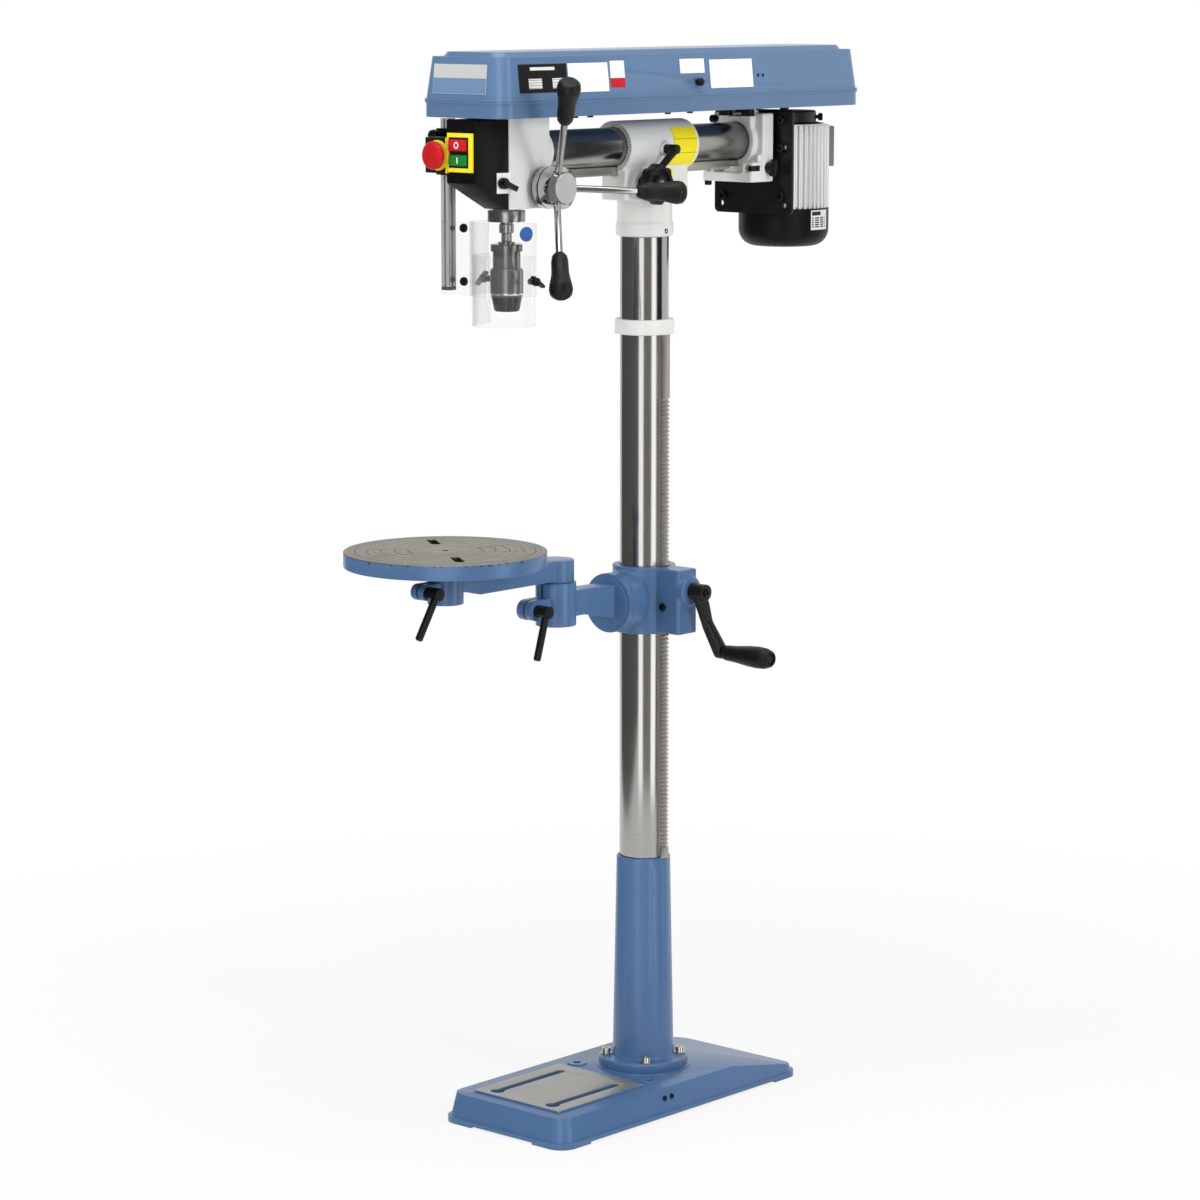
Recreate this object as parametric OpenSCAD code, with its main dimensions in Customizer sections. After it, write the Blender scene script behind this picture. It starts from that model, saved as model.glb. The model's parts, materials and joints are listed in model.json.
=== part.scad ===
// Radial pillar drill, floor standing. Millimetres, +Z up, column axis at X = Y = 0,
// floor at Z = 0, front at -Y, feed handles and table crank on +X.

/* [Stand] */
// Width of the base casting
base_w = 248; // [220:1:320]
// Reach of the base in front of the column axis
base_front = 320; // [300:1:400]
// Reach of the base behind the column axis
base_rear = 232; // [200:1:300]
// Height of the base's deck
deck_h = 44; // [38:1:60]
// Height of the base at its rear end
base_rear_h = 16; // [14:1:30]
// Wall of the base casting
base_wall = 9; // [6:1:14]
// Width of the machined ground plate
plate_w = 172; // [150:1:190]
// Length of the machined ground plate
plate_l = 191; // [170:1:195]
// Distance between the two keyhole slots
slot_gap = 111; // [90:1:130]
// Distance between the two floor anchor holes
anchor_gap = 147; // [140:1:160]
// Diameter of a floor anchor hole
anchor_d = 12.5; // [8:0.5:16]
// Diameter of the pedestal's flange
flange_d = 136; // [126:1:150]
// Thickness of the pedestal's flange
flange_t = 14; // [10:1:20]
// Height of the pedestal's top
pedestal_top = 373; // [300:1:420]
// Diameter of the column tube
column_d = 73; // [70:0.5:75]
// Wall of the column tube
column_wall = 4; // [2.5:0.5:6]
// Depth of the column in the pedestal
column_seat = 120; // [80:1:160]
// Length of the column tube
column_l = 1103; // [1060:1:1200]

/* [Table lift] */
// Length of the table rack
rack_l = 794; // [740:1:800]
// Width of the table rack
rack_w = 16; // [12:1:20]
// Height of the table bracket's lower face above the floor
bracket_z = 719; // [600:1:800]
// Height of the table bracket
bracket_h = 101; // [100:1:110]
// Wall of the bracket's collar
bracket_wall = 11; // [9:0.5:13]
// Width of the bracket's gearbox
gearbox_w = 44; // [38:1:50]
// Radius of the crank
crank_r = 97; // [80:1:110]
// Length of the crank's grip
crank_grip_l = 92; // [70:1:100]

/* [Table] */
// Diameter of the round table
table_d = 290; // [240:1:300]
// Height of the table's rim
table_rim = 22; // [18:1:26]
// Thickness of the table's plate
table_t = 12; // [11:1:15]
// Width of a table slot
table_slot_w = 14; // [10:1:16]
// Length of a table slot
table_slot_l = 50; // [40:1:60]
// Distance from the column axis to the arms' pivot
arm_pivot = 197; // [185:1:210]
// Distance from the arms' pivot to the table's axis
table_reach = 233; // [220:1:250]
// Diameter of the tilt disc
tilt_d = 89; // [80:1:90]
// Diameter of the arms' pivot pins
pivot_d = 30; // [24:1:32]

/* [Column head] */
// Height of the ram's axis above the column's top end
ram_rise = 89; // [87:1:95]
// Diameter of the ram tube
ram_d = 57.2; // [54:0.2:58]
// Wall of the ram tube
ram_wall = 4.5; // [3:0.5:6]
// Wall of the sleeve round the ram
sleeve_wall = 9.4; // [8:0.2:10]
// Reach of the sleeve in front of the column axis
sleeve_front = 72; // [60:1:80]
// Reach of the sleeve behind the column axis
sleeve_rear = 82; // [72:1:90]
// Diameter of the ram handwheel
handwheel_d = 60; // [54:1:62]

/* [Drill head] */
// Distance from the column axis to the spindle axis
spindle_y = 300; // [298:1:320]
// Width of the head casting
head_w = 84; // [80:1:90]
// Diameter of the quill
quill_d = 40; // [38:0.5:42]
// Stroke of the quill
stroke = 80; // [60:1:85]
// Diameter of the chuck's sleeve
chuck_d = 48; // [46:1:52]
// Bore of the chuck
chuck_bore = 16.5; // [13:0.5:18]
// Reach of the feed spokes from the feed axis
spoke_reach = 171; // [150:1:195]
// Diameter of a feed spoke
spoke_d = 10; // [8:0.5:12]
// Outer diameter of the chuck guard
guard_d = 96; // [94:1:100]
// Wall of the chuck guard
guard_wall = 2.5; // [2:0.1:3]

/* [Drive] */
// Width of the belt cover's tray
cover_w = 162; // [158:1:170]
// Reach of the cover in front of the spindle axis
cover_front = 96; // [90:1:110]
// Reach of the cover behind the motor shaft
cover_back = 93; // [86:1:120]
// Wall of the belt cover
cover_wall = 2.2; // [1.6:0.1:3]
// Distance from the column axis to the motor shaft
motor_y = 327; // [325:1:335]
// Diameter of the motor housing
motor_d = 139; // [130:1:140]
// Height of one pulley step
step_h = 14; // [13:0.5:15]

/* [Clearances] */
// Radial clearance of a sliding or turning fit
fit = 0.05; // [0.02:0.01:0.08]
// Gap between faces that move past each other
gap = 0.3; // [0.2:0.05:0.5]
// Gap at rest between pieces that meet face to face
rest = 0.1; // [0.05:0.05:0.2]

/* [Hidden] */
$fn = 96;
eps = 0.5;

cast_blue = [0.33, 0.46, 0.61];
cover_blue = [0.41, 0.53, 0.68];
cast_grey = [0.78, 0.79, 0.77];
steel = [0.72, 0.72, 0.70];
black = [0.10, 0.10, 0.09];
clear = [0.85, 0.90, 0.92, 0.5];

// Stand
base_hw = base_w / 2;
base_corner_r = 28;
base_lip = 9;
base_draft = 11;
foot_h = 3;
foot_l = 62;
foot_w = 22;
ramp_y = 75;
plate_front = 287;
plate_top = deck_h + 3.4;
seat_r = flange_d / 2 + 4;
seat_z = deck_h + 2;
flange_z = seat_z + flange_t;
anchor_y = 70;
slot_w = 13;
slot_head_d = 22;
column_r = column_d / 2;
column_foot = pedestal_top - column_seat;
column_top = column_foot + column_l;
bolt_r = 4;
bolt_pcd_r = flange_d / 2 - 11.5;
washer_t = 1.6;
bolt_head_r = 6.5;
bolt_head_h = 8;
rack_z0 = pedestal_top + rest;
rack_z1 = rack_z0 + rack_l;
ring_z = rack_z1 + rest;
ring_h = 22;
ring_r = column_r + 8;

// Table lift, module 2 rack and gear
lift_m = 2;
lift_teeth = 14;
lift_pitch = PI * lift_m;
lift_r = lift_m * lift_teeth / 2;
rack_tip = column_r + 7.1;
rack_root = rack_tip - 2.1 * lift_m;
gear_x = rack_tip - lift_m + lift_r;
gear_z = bracket_z + 42.6;
gear_w = 18;
gear_shaft_r = 5;
worm_pitch_r = 12;
worm_tip_r = worm_pitch_r + 1.7;
worm_root_r = worm_pitch_r - 2.4;
worm_z = gear_z + lift_r + worm_pitch_r;
worm_len = 29;
worm_x0 = rack_tip + 2 * gap;
worm_x1 = worm_x0 + worm_len;
shaft_r = 8;
bracket_r = column_r + bracket_wall;
bracket_top = bracket_z + bracket_h;
gearbox_x = gear_x + 31.5;
boss_x = gearbox_x + 8;
crank_x = boss_x + 2;
crank_turn = 18;
crank_end_x = crank_x + 35;
grip_screw_r = 5;
tilt_z = bracket_z + 50.4;
tilt_y = column_r + 33.5;
tilt_disc_t = 12.7;
ear_y = column_r + 25.5;
lever_ear_hw = 17;

// Table and arms
arm_boss_r = pivot_d / 2 + 15;
arm_boss_z0 = tilt_z - 18;
arm_boss_z1 = tilt_z + 46;
lower_ear_y = arm_pivot + 55;
lower_ear_z = tilt_z + 10;
upper_block_r = pivot_d / 2 + 12;
upper_z0 = arm_boss_z1 + gap;
upper_z1 = upper_z0 + 33;
table_y = arm_pivot + table_reach;
table_boss_r = pivot_d / 2 + 11;
table_boss_z1 = upper_z1 + 14;
table_boss_z0 = table_boss_z1 - 52;
table_hub_z = table_boss_z1 + gap;
table_top = table_hub_z + 24;
upper_ear_y = table_y + 48;
upper_ear_z = table_boss_z0 + 22;
table_slot_r = 88;
table_slot_turn = 145;
spigot_r = pivot_d / 2;
split = 3;
lower_ear_r = 15;
lower_ear_hw = 14;
upper_ear_r = 11.5;
upper_ear_hw = 12;
lever_stud_r = 5;
lever_hub_l = 24;
lever_arm_l = 70;

// Column head
ram_z = column_top + ram_rise;
ram_r = ram_d / 2;
sleeve_r = ram_r + sleeve_wall;
socket_r = column_r + 4.5;
socket_ring_r = column_r + 6.3;
socket_z0 = column_top - 44;
socket_ring_h = 21;
grub_r = 4;
grub_z = socket_z0 + 14;
block_hw = 24;
block_z0 = column_top + 11;
block_y = 70;
pinion_m = 1.75;
pinion_teeth = 16;
pinion_pitch = PI * pinion_m;
pinion_r = pinion_m * pinion_teeth / 2;
ram_rack_top = ram_z - ram_r - gap;
ram_rack_tip = ram_rack_top - 12.4;
ram_rack_hw = 7.5;
pinion_z = ram_rack_tip + pinion_m - pinion_r;
pinion_y = 40;
pinion_shaft_r = 7;
wheel_x0 = block_hw + 26;
wheel_t = 17;
lock_z = ram_z - 4;
lock_arm_l = 46;
lock_lean = 27;
lock_turn = 29;

// Drill head
head_hw = head_w / 2;
head_front = spindle_y + 40;
head_rear = spindle_y - 49;
head_z0 = ram_z - 78.5;
head_z1 = ram_z + 51;
quill_r = quill_d / 2;
quill_z0 = ram_z - 98;
quill_collar_z1 = quill_z0 + 16;
quill_z1 = quill_z0 + stroke + 51;
quill_collar_r = quill_r + 7;
feed_m = 1.5;
feed_teeth = 14;
feed_pitch = PI * feed_m;
feed_r = feed_m * feed_teeth / 2;
quill_tip = quill_r - 1.2;
quill_root = quill_tip - 2.1 * feed_m;
feed_y = spindle_y - (quill_tip - feed_m + feed_r);
feed_z = ram_z - 49;
feed_shaft_r = 8;
feed_gear_hw = 7.5;
quill_slot_hw = 8;
feed_face = head_hw + 5;
hub_journal_r = 20;
hub_r = 30;
depth_ring_x0 = feed_face + 1.5;
depth_ring_x1 = depth_ring_x0 + 14;
hub_x1 = feed_face + 37;
cap_x = feed_face + 44;
cap_r = 22;
spoke_x = feed_face + 24;
spoke_cone = 29;
spoke_turn = 3.5;
grip_l = 74;
spoke_len = spoke_reach / cos(spoke_cone);
spoke_foot = 14;
journal_r = 10;
spline_r = 7.4;
spline_tip_r = 8.6;
spline_w = 3;
spindle_foot = quill_z0 - 55;
spindle_top = ram_z + 127;
neck_r = 7;
chuck_z1 = quill_z0 - 32;
chuck_boss_h = 3;
chuck_ring_h = 10.2;
chuck_body_z = chuck_z1 - 34;
chuck_z0 = chuck_z1 - 96;
chuck_r = chuck_d / 2;
core_r = chuck_r - 6;
nose_r = chuck_r - 7.2;
jaw_l = 26;
jaw_w = 7;
jaw_t = 5;
housing_front = head_front + 53;
housing_tip_hw = 28;
housing_t = 3;
housing_top = head_z1 - 3;
chin_z = head_z0 + 38;
chin_bulge = 0.08;
belly_slope = 35;
belly_x = -4;
plate_t = 3;
switch_z0 = ram_z - 25;
switch_z1 = ram_z + 30;
switch_hw = 24.5;
switch_body_hw = 21.5;
switch_deep = 30;
button_x0 = -18;
button_x1 = 14;
stop_z0 = ram_z + 5;
stop_z1 = ram_z + 21;
start_z0 = ram_z - 16;
start_z1 = ram_z - 0.5;
button_deep = 12;
button_proud = 5;
estop_x = -40;
estop_z = ram_z - 2;
estop_r = 20;
estop_box_x = -64;
knob_turn = -atan2(head_hw - housing_tip_hw, housing_front - head_front);
selector_s = 0.19;
selector_x = head_hw - (head_hw - housing_tip_hw) * selector_s;
selector_y = head_front + (housing_front - head_front) * selector_s;
selector_z = ram_z - 40.5;
post_x = head_hw + 41;
post_y = spindle_y + 33;
post_w = 15;
post_z0 = ram_z - 193;
post_z1 = ram_z + 47;
holder_z0 = ram_z - 33;
holder_z1 = ram_z + 33;
post_bore_r = post_w * 0.7072 + gap;
guard_y = spindle_y + 7;
guard_r = guard_d / 2;
slider_r = guard_r - guard_wall - gap;
shield_z0 = ram_z - 203;
shield_z1 = ram_z - 98;
slider_z0 = ram_z - 246;
slider_z1 = ram_z - 145;
guard_back = 19;
wing_z = ram_z - 182;
wing_y = guard_y - 13;
wing_bolt_r = 2.5;
slot_up = 30;
slot_down = 26;

// Drive
tray_z0 = head_z1;
seam_z = tray_z0 + 23;
lid_z0 = seam_z + rest;
lid_shoulder = lid_z0 + 62;
lid_top = lid_shoulder + 6.4;
lid_knob_y = -27;
lid_knob_rise = 20;
lid_knob_z = lid_z0 + lid_knob_rise;
cover_hw = cover_w / 2;
lid_side = 8;
lid_end = 7;
lid_step = 11;
lid_knob_x = cover_hw - 1 - (lid_side - 1) * lid_knob_rise / (lid_shoulder - lid_z0) + 0.5;
cover_y0 = -(spindle_y + cover_front);
cover_y1 = motor_y + cover_back;
cover_r = 28;
rim = 2;
pulley_z0 = tray_z0 + 8;
pulley_r = [for (i = [0:4]) 62 - 10 * i];
belt_step = 2;
belt_r = pulley_r[belt_step];
belt_h = 5.2;
belt_z = pulley_z0 + step_h * (belt_step + 0.5);
groove_d = 7;
hub_outer_r = 14;
pulley_hub_z0 = quill_z1 + 4;
motor_r = motor_d / 2;
bracket_y0 = 207;
flange_y0 = 216;
flange_y1 = 241;
bracket_hw = 49;
foot_y0 = 190;
foot_z = ram_z - 61;
foot_t = 14;
bar_r = 6;
bar_x = 38;
bar_z = foot_z + 21;
cheek_t = 21;
side_slot_r = 3.6;
side_slot_deep = 3.5;
knob_y = flange_y0 + 13;
knob_wing = 13;
plate_y0 = flange_y1 + 11;
plate_y1 = plate_y0 + 5;
motor_plate_hw = 76;
motor_plate_z0 = ram_z - 112;
motor_plate_z1 = ram_z + 47;
motor_z0 = ram_z - 105;
motor_z1 = ram_z + 21;
shield_top = ram_z + 43;
dome_z0 = ram_z - 164;
dome_wall = 2;
dome_r = 26;
motor_shaft_r = 7;
rotor_r = 38;
stator_r = rotor_r + 1;
fan_r = motor_r - 15.5;
fan_z0 = dome_z0 + 30;
fins = 48;
box_hw = 25;
box_y1 = motor_y + motor_r + 25;

// General shapes
module cyl_x(r, x0, x1) translate([x0, 0, 0]) rotate([0, 90, 0]) cylinder(r = r, h = x1 - x0);
module cyl_y(r, y0, y1) translate([0, y0, 0]) rotate([-90, 0, 0]) cylinder(r = r, h = y1 - y0);
module cyl_z(r, z0, z1) translate([0, 0, z0]) cylinder(r = r, h = z1 - z0);
module block(x0, x1, y0, y1, z0, z1) translate([x0, y0, z0]) cube([x1 - x0, y1 - y0, z1 - z0]);
module rounded_2d(x0, x1, y0, y1, r) {
    translate([x0 + r, y0]) square([x1 - x0 - 2 * r, y1 - y0]);
    translate([x0, y0 + r]) square([x1 - x0, y1 - y0 - 2 * r]);
    for (x = [x0 + r, x1 - r], y = [y0 + r, y1 - r]) translate([x, y]) circle(r = r);
}
module rounded_block(x0, x1, y0, y1, z0, z1, r)
    translate([0, 0, z0]) linear_extrude(z1 - z0) rounded_2d(x0, x1, y0, y1, r);
// A profile drawn in (Y, Z), extruded along X
module along_x(x0, x1) translate([x0, 0, 0]) rotate([90, 0, 90]) linear_extrude(x1 - x0) children();
// A profile drawn in (X, Z), extruded along Y
module along_y(y0, y1) translate([0, y1, 0]) rotate([90, 0, 0]) linear_extrude(y1 - y0) children();
// A profile drawn in (X = radius, Y = height), turned about the X axis
module turned_x() rotate([0, 90, 0]) rotate_extrude() children();

// Teeth of a rack along +Y of the drawing, pointing to +X: tip at x = 0, root at x = -2.1 m
function rack_points(m, n, y0, thick) = [for (i = [0:n - 1], p = [[-2.1, -0.5], [0, -0.5], [0, 0.5], [-2.1, 0.5]])
    [p[0] * m, y0 + PI * m * i + p[1] * PI * m * (p[0] < -1 ? thick + 0.32 : thick - 0.30)]];
// Outline of a gear with n teeth of module m, with a tooth centred on +X; thick is its tooth share
function gear_points(m, n, thick) = let (r = m * n / 2) [for (i = [0:n - 1],
    p = [[-1.2, -1.35], [-0.1, -1], [0.85, -0.52], [0.85, 0.52], [-0.1, 1], [-1.2, 1.35]])
    let (rr = r + p[0] * m, a = 360 / n * (i + p[1] * thick / 2)) [rr * cos(a), rr * sin(a)]];
// Cross-section of a single-start worm thread
function worm_point(a) = let (s = abs(a) * lift_pitch / 360,
    t = (1.75 - s) / 0.9) worm_root_r + (worm_tip_r - worm_root_r) * max(0, min(1, t));

// A clamp lever: stud along X from x0 to 0, hub from 0 to hub_l, arm hanging along -Z
module clamp_lever(x0, hub_l, arm_l, arm_r = 5.5, hub_r = 9) {
    cyl_x(lever_stud_r, x0, eps);
    cyl_x(hub_r, 0, hub_l);
    translate([hub_l - arm_r - 1, 0, 0]) rotate([180, 0, 0]) {
        cylinder(r = arm_r, h = arm_l);
        translate([0, 0, arm_l]) cylinder(r1 = arm_r, r2 = arm_r - 1.5, h = 2);
    }
}

// Stand
module base_outline(inset) rounded_2d(-base_hw + inset, base_hw - inset, -base_front + inset,
    base_rear - inset, base_corner_r - inset / 2);
module base_side(drop) polygon([[-base_front - 1, -1], [base_rear + 1, -1],
    [base_rear + 1, base_rear_h - drop], [ramp_y, deck_h - drop], [-base_front - 1, deck_h - drop]]);
module key_slot(x) {
    head_y = -plate_front + 20;
    translate([x, head_y, 0]) cylinder(d = slot_head_d, h = plate_top + 1);
    translate([x, head_y + plate_l - 51, 0]) cylinder(d = slot_w, h = plate_top + 1);
    block(x - slot_w / 2, x + slot_w / 2, head_y, head_y + plate_l - 51, 0, plate_top + 1);
}
module base_casting() color(cast_blue) difference() {
    union() {
        intersection() {
            union() {
                linear_extrude(base_lip) base_outline(0);
                hull() {
                    translate([0, 0, base_lip - eps]) linear_extrude(eps) base_outline(4, $fn = 32);
                    translate([0, 0, deck_h - eps]) linear_extrude(eps) base_outline(base_draft, $fn = 32);
                }
            }
            along_x(-base_hw - 1, base_hw + 1) base_side(0);
        }
        rounded_block(-plate_w / 2, plate_w / 2, -plate_front, plate_l - plate_front,
            deck_h - eps, plate_top, 4);
        cyl_z(seat_r, deck_h - 8, seat_z);
        for (x = [-1, 1]) translate([x * anchor_gap / 2, -anchor_y, 0]) cyl_z(15, deck_h - 8, seat_z);
    }
    difference() {
        intersection() {
            translate([0, 0, -1]) linear_extrude(deck_h) base_outline(base_wall + base_draft);
            along_x(-base_hw, base_hw) base_side(base_wall + 1);
        }
        cyl_z(seat_r - 8, -2, deck_h);
        for (x = [-1, 1]) translate([x * anchor_gap / 2, -anchor_y, 0]) cyl_z(15, -2, deck_h);
        for (x = [-1, 0, 1]) block(x * 82 - 3, x * 82 + 3, -base_front, base_rear, foot_h + 2, deck_h);
    }
    cyl_z(22, -1, deck_h + 3);
    for (x = [-1, 1]) {
        key_slot(x * slot_gap / 2);
        translate([x * anchor_gap / 2, -anchor_y, -1]) cylinder(d = anchor_d, h = seat_z + 2);
    }
    for (a = [45:90:315]) rotate(a) translate([bolt_pcd_r, 0, seat_z - 24]) cylinder(r = bolt_r, h = 25);
    block(-base_hw + foot_l, base_hw - foot_l, -base_front - 1, -base_front + foot_w, -1, foot_h);
    block(-base_hw + foot_l, base_hw - foot_l, base_rear - foot_w, base_rear + 1, -1, foot_h);
    for (x = [-1, 1]) block(x > 0 ? base_hw - foot_w : -base_hw - 1, x > 0 ? base_hw + 1 : -base_hw + foot_w,
        -base_front + foot_l, base_rear - foot_l, -1, foot_h);
}
module pedestal() color(cast_blue) difference() {
    rotate_extrude() polygon([[column_r - 6, seat_z], [flange_d / 2, seat_z], [flange_d / 2, flange_z - 2],
        [flange_d / 2 - 2, flange_z], [column_r + 11.3, flange_z], [column_r + 10.5, flange_z + 3],
        [column_r + 10, flange_z + 10], [column_r + 4.2, pedestal_top - 2],
        [column_r + 2.6, pedestal_top], [column_r - 6, pedestal_top]]);
    cyl_z(column_r, column_foot, pedestal_top + 1);
    for (a = [45:90:315]) rotate(a) translate([bolt_pcd_r, 0, seat_z - 1]) cylinder(r = bolt_r + 0.5,
        h = flange_t + 2);
}
module flange_bolts() color(steel) for (a = [45:90:315]) rotate(a) translate([bolt_pcd_r, 0, flange_z])
    difference() {
        union() {
            cylinder(r = bolt_head_r + 2, h = washer_t);
            cylinder(r = bolt_head_r, h = washer_t + bolt_head_h);
            translate([0, 0, -flange_t - 20]) cylinder(r = bolt_r, h = flange_t + 21);
        }
        translate([0, 0, washer_t + bolt_head_h - 4]) cylinder(r = 3.6, h = 5, $fn = 6);
    }
module column_tube() color(steel) difference() {
    cyl_z(column_r, column_foot, column_top);
    cyl_z(column_r - column_wall, column_foot - 1, column_top + 1);
}
module column_ring() color(cast_grey) difference() {
    translate([0, 0, ring_z]) rotate_extrude() polygon([[column_r, 0], [ring_r, 0], [ring_r, ring_h - 1.5],
        [ring_r - 1.5, ring_h], [column_r, ring_h]]);
    translate([0, 0, ring_z + ring_h / 2]) rotate([0, 0, 35]) cyl_x(3, column_r + 2, ring_r + 1);
}

// Table lift
rack_teeth = floor((rack_l - 110) / lift_pitch);
rack_phase = gear_z - lift_pitch * floor((gear_z - rack_z0 - 14) / lift_pitch) + lift_pitch / 2;
module table_rack() color(steel) difference() {
    union() {
        translate([0, rack_w / 2, 0]) rotate([90, 0, 0]) linear_extrude(rack_w) union() {
            translate([column_r - 4, rack_z0]) square([rack_root - column_r + 4.4, rack_l]);
            translate([rack_tip, 0]) polygon(concat([[-3 * lift_m, rack_phase]],
                rack_points(lift_m, rack_teeth, rack_phase, 0.45),
                [[-3 * lift_m, rack_phase + (rack_teeth - 1) * lift_pitch]]));
            translate([rack_root - 1, rack_phase + rack_teeth * lift_pitch - 1])
                square([rack_tip - rack_root + 1, rack_z1 - rack_phase - rack_teeth * lift_pitch + 1]);
            translate([rack_root - 1, rack_z0]) square([rack_tip - rack_root + 1,
                rack_phase - rack_z0 - lift_pitch * 0.7]);
        }
    }
    cyl_z(column_r + 2 * fit, rack_z0 - 1, rack_z1 + 1);
}
module table_bracket() color(cast_blue) difference() {
    union() {
        cyl_z(bracket_r, bracket_z, bracket_top);
        translate([0, 0, tilt_z]) cyl_y(tilt_d / 2, -tilt_y, -column_r - 4);
        rounded_block(10, gearbox_x, -gearbox_w / 2, gearbox_w / 2, bracket_z + 3, bracket_top - 1, 5);
        translate([0, 0, worm_z]) cyl_x(22, gearbox_x - 1, boss_x);
        rounded_block(-lever_ear_hw, lever_ear_hw, column_r + 2, ear_y + 13, bracket_z + 26, bracket_z + 74, 6);
    }
    cyl_z(column_r + fit, bracket_z - 1, bracket_top + 1);
    block(column_r - 10, rack_tip + gap, -rack_w / 2 - gap, rack_w / 2 + gap, bracket_z - 1, bracket_top + 1);
    translate([gear_x, 0, gear_z]) cyl_y(lift_r + lift_m + 0.5, -gear_w / 2 - gap, gear_w / 2 + gap);
    translate([gear_x, 0, gear_z]) cyl_y(gear_shaft_r + fit, -gearbox_w / 2 - 1, gearbox_w / 2 + 1);
    translate([0, 0, worm_z]) cyl_x(worm_tip_r + 0.5, column_r + 2, worm_x1 + 1);
    translate([0, 0, worm_z]) cyl_x(shaft_r + fit, worm_x1, boss_x + 1);
    translate([0, 0, tilt_z]) cyl_y(spigot_r + fit, -tilt_y - 1, -tilt_y + 25);
    block(-split / 2, split / 2, column_r - 3, ear_y + 14, bracket_z - 1, bracket_top + 1);
    translate([0, ear_y, bracket_z + 50]) cyl_x(lever_stud_r + fit, -lever_ear_hw - 1, lever_ear_hw + 1);
}
module lift_gear() color(steel) translate([gear_x, 0, gear_z]) {
    rotate([90, 0, 0]) translate([0, 0, -gear_w / 2]) linear_extrude(gear_w)
        rotate(180) polygon(gear_points(lift_m, lift_teeth, 0.36));
    cyl_y(gear_shaft_r, -gearbox_w / 2 + 0.5, gearbox_w / 2 - 0.5);
}
module worm_shaft() color(steel) translate([0, 0, worm_z]) {
    translate([worm_x0, 0, 0]) rotate([0, 90, 0]) rotate(-360 * (gear_x - worm_x0) / lift_pitch)
        linear_extrude(worm_len, twist = -360 * worm_len / lift_pitch, slices = ceil(worm_len / lift_pitch * 12))
            polygon([for (i = [-9:8]) let (a = i * 20) worm_point(a) * [cos(a), sin(a)]]);
    cyl_x(shaft_r, worm_x1 - 1, crank_x + 24);
}
module crank_frame() translate([0, 0, worm_z]) rotate([crank_turn, 0, 0]) children();
module crank_arm() color(black) crank_frame() difference() {
    union() {
        cyl_x(12.5, crank_x, crank_x + 26);
        hull() {
            cyl_x(11, crank_x + 6, crank_x + 18, $fn = 32);
            translate([0, 0, -crank_r * 0.55]) cyl_x(8, crank_x + 10, crank_x + 20, $fn = 32);
        }
        hull() {
            translate([0, 0, -crank_r * 0.55]) cyl_x(8, crank_x + 10, crank_x + 20, $fn = 32);
            translate([0, 0, -crank_r]) cyl_x(10, crank_end_x - 12, crank_end_x, $fn = 32);
        }
        translate([0, 0, -crank_r]) cyl_x(grip_screw_r, crank_end_x - 2, crank_end_x + crank_grip_l - 3);
        translate([0, 0, -crank_r]) cyl_x(8, crank_end_x + crank_grip_l - 5, crank_end_x + crank_grip_l - 2);
    }
    cyl_x(shaft_r, crank_x - 1, crank_x + 24);
}
module crank_grip() color(black) crank_frame() translate([crank_end_x + gap, 0, -crank_r]) difference() {
    turned_x() polygon([[0, 0], [9, 0], [11.5, 6], [12.5, 24], [15.5, 50], [16.4, 66],
        [15.5, 80], [12.5, crank_grip_l - 3], [10, crank_grip_l - gap], [0, crank_grip_l - gap]]);
    cyl_x(grip_screw_r + fit, -1, crank_grip_l);
    cyl_x(8 + gap, crank_grip_l - 5 - 2 * gap, crank_grip_l);
}
module column_lock_lever() color(black) translate([-lever_ear_hw - gap, ear_y, bracket_z + 50])
    mirror([1, 0, 0]) rotate([25, 0, 0]) clamp_lever(-2 * lever_ear_hw + 4, lever_hub_l, lever_arm_l);

// Table and arms
module split_boss(y, r, z0, z1, ear, ear_z, ear_r, ear_hw) {
    translate([0, -y, 0]) cyl_z(r, z0, z1);
    block(-ear_hw, ear_hw, -ear, -y, ear_z - ear_r, ear_z + ear_r);
    translate([0, -ear, ear_z]) cyl_x(ear_r, -ear_hw, ear_hw);
}
module split_cuts(y, r, z0, z1, ear, ear_z, ear_r) {
    translate([0, -y, 0]) cyl_z(spigot_r + fit, z0 - 1, z1 + 1);
    block(-split / 2, split / 2, -ear - ear_r - 1, -y, z0 - 1, z1 + 1);
    translate([0, -ear, ear_z]) cyl_x(lever_stud_r + fit, -r, r);
}
module lower_arm() color(cast_blue) difference() {
    union() {
        translate([0, 0, tilt_z]) {
            cyl_y(tilt_d / 2, -tilt_y - tilt_disc_t, -tilt_y - gap);
            cyl_y(tilt_d / 2 - 6, -tilt_y - tilt_disc_t - 2, -tilt_y - 2);
            cyl_y(spigot_r, -tilt_y - 2, -tilt_y + 24);
        }
        along_x(-16, 16) polygon([[-tilt_y - 4, tilt_z - 21.5], [-tilt_y - tilt_disc_t, tilt_z - 21.5],
            [-arm_pivot + 46, tilt_z - 7], [-arm_pivot, tilt_z - 7], [-arm_pivot, tilt_z + 31],
            [-arm_pivot + 46, tilt_z + 31], [-tilt_y - 4, tilt_z + 28.5]]);
        split_boss(arm_pivot, arm_boss_r, arm_boss_z0, arm_boss_z1, lower_ear_y, lower_ear_z,
            lower_ear_r, lower_ear_hw);
    }
    split_cuts(arm_pivot, arm_boss_r, arm_boss_z0, arm_boss_z1, lower_ear_y, lower_ear_z, lower_ear_r);
}
module lower_clamp_lever() color(black) translate([lower_ear_hw + gap, -lower_ear_y, lower_ear_z])
    rotate([-17, 0, 0]) clamp_lever(-2 * lower_ear_hw, lever_hub_l, lever_arm_l);
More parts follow.
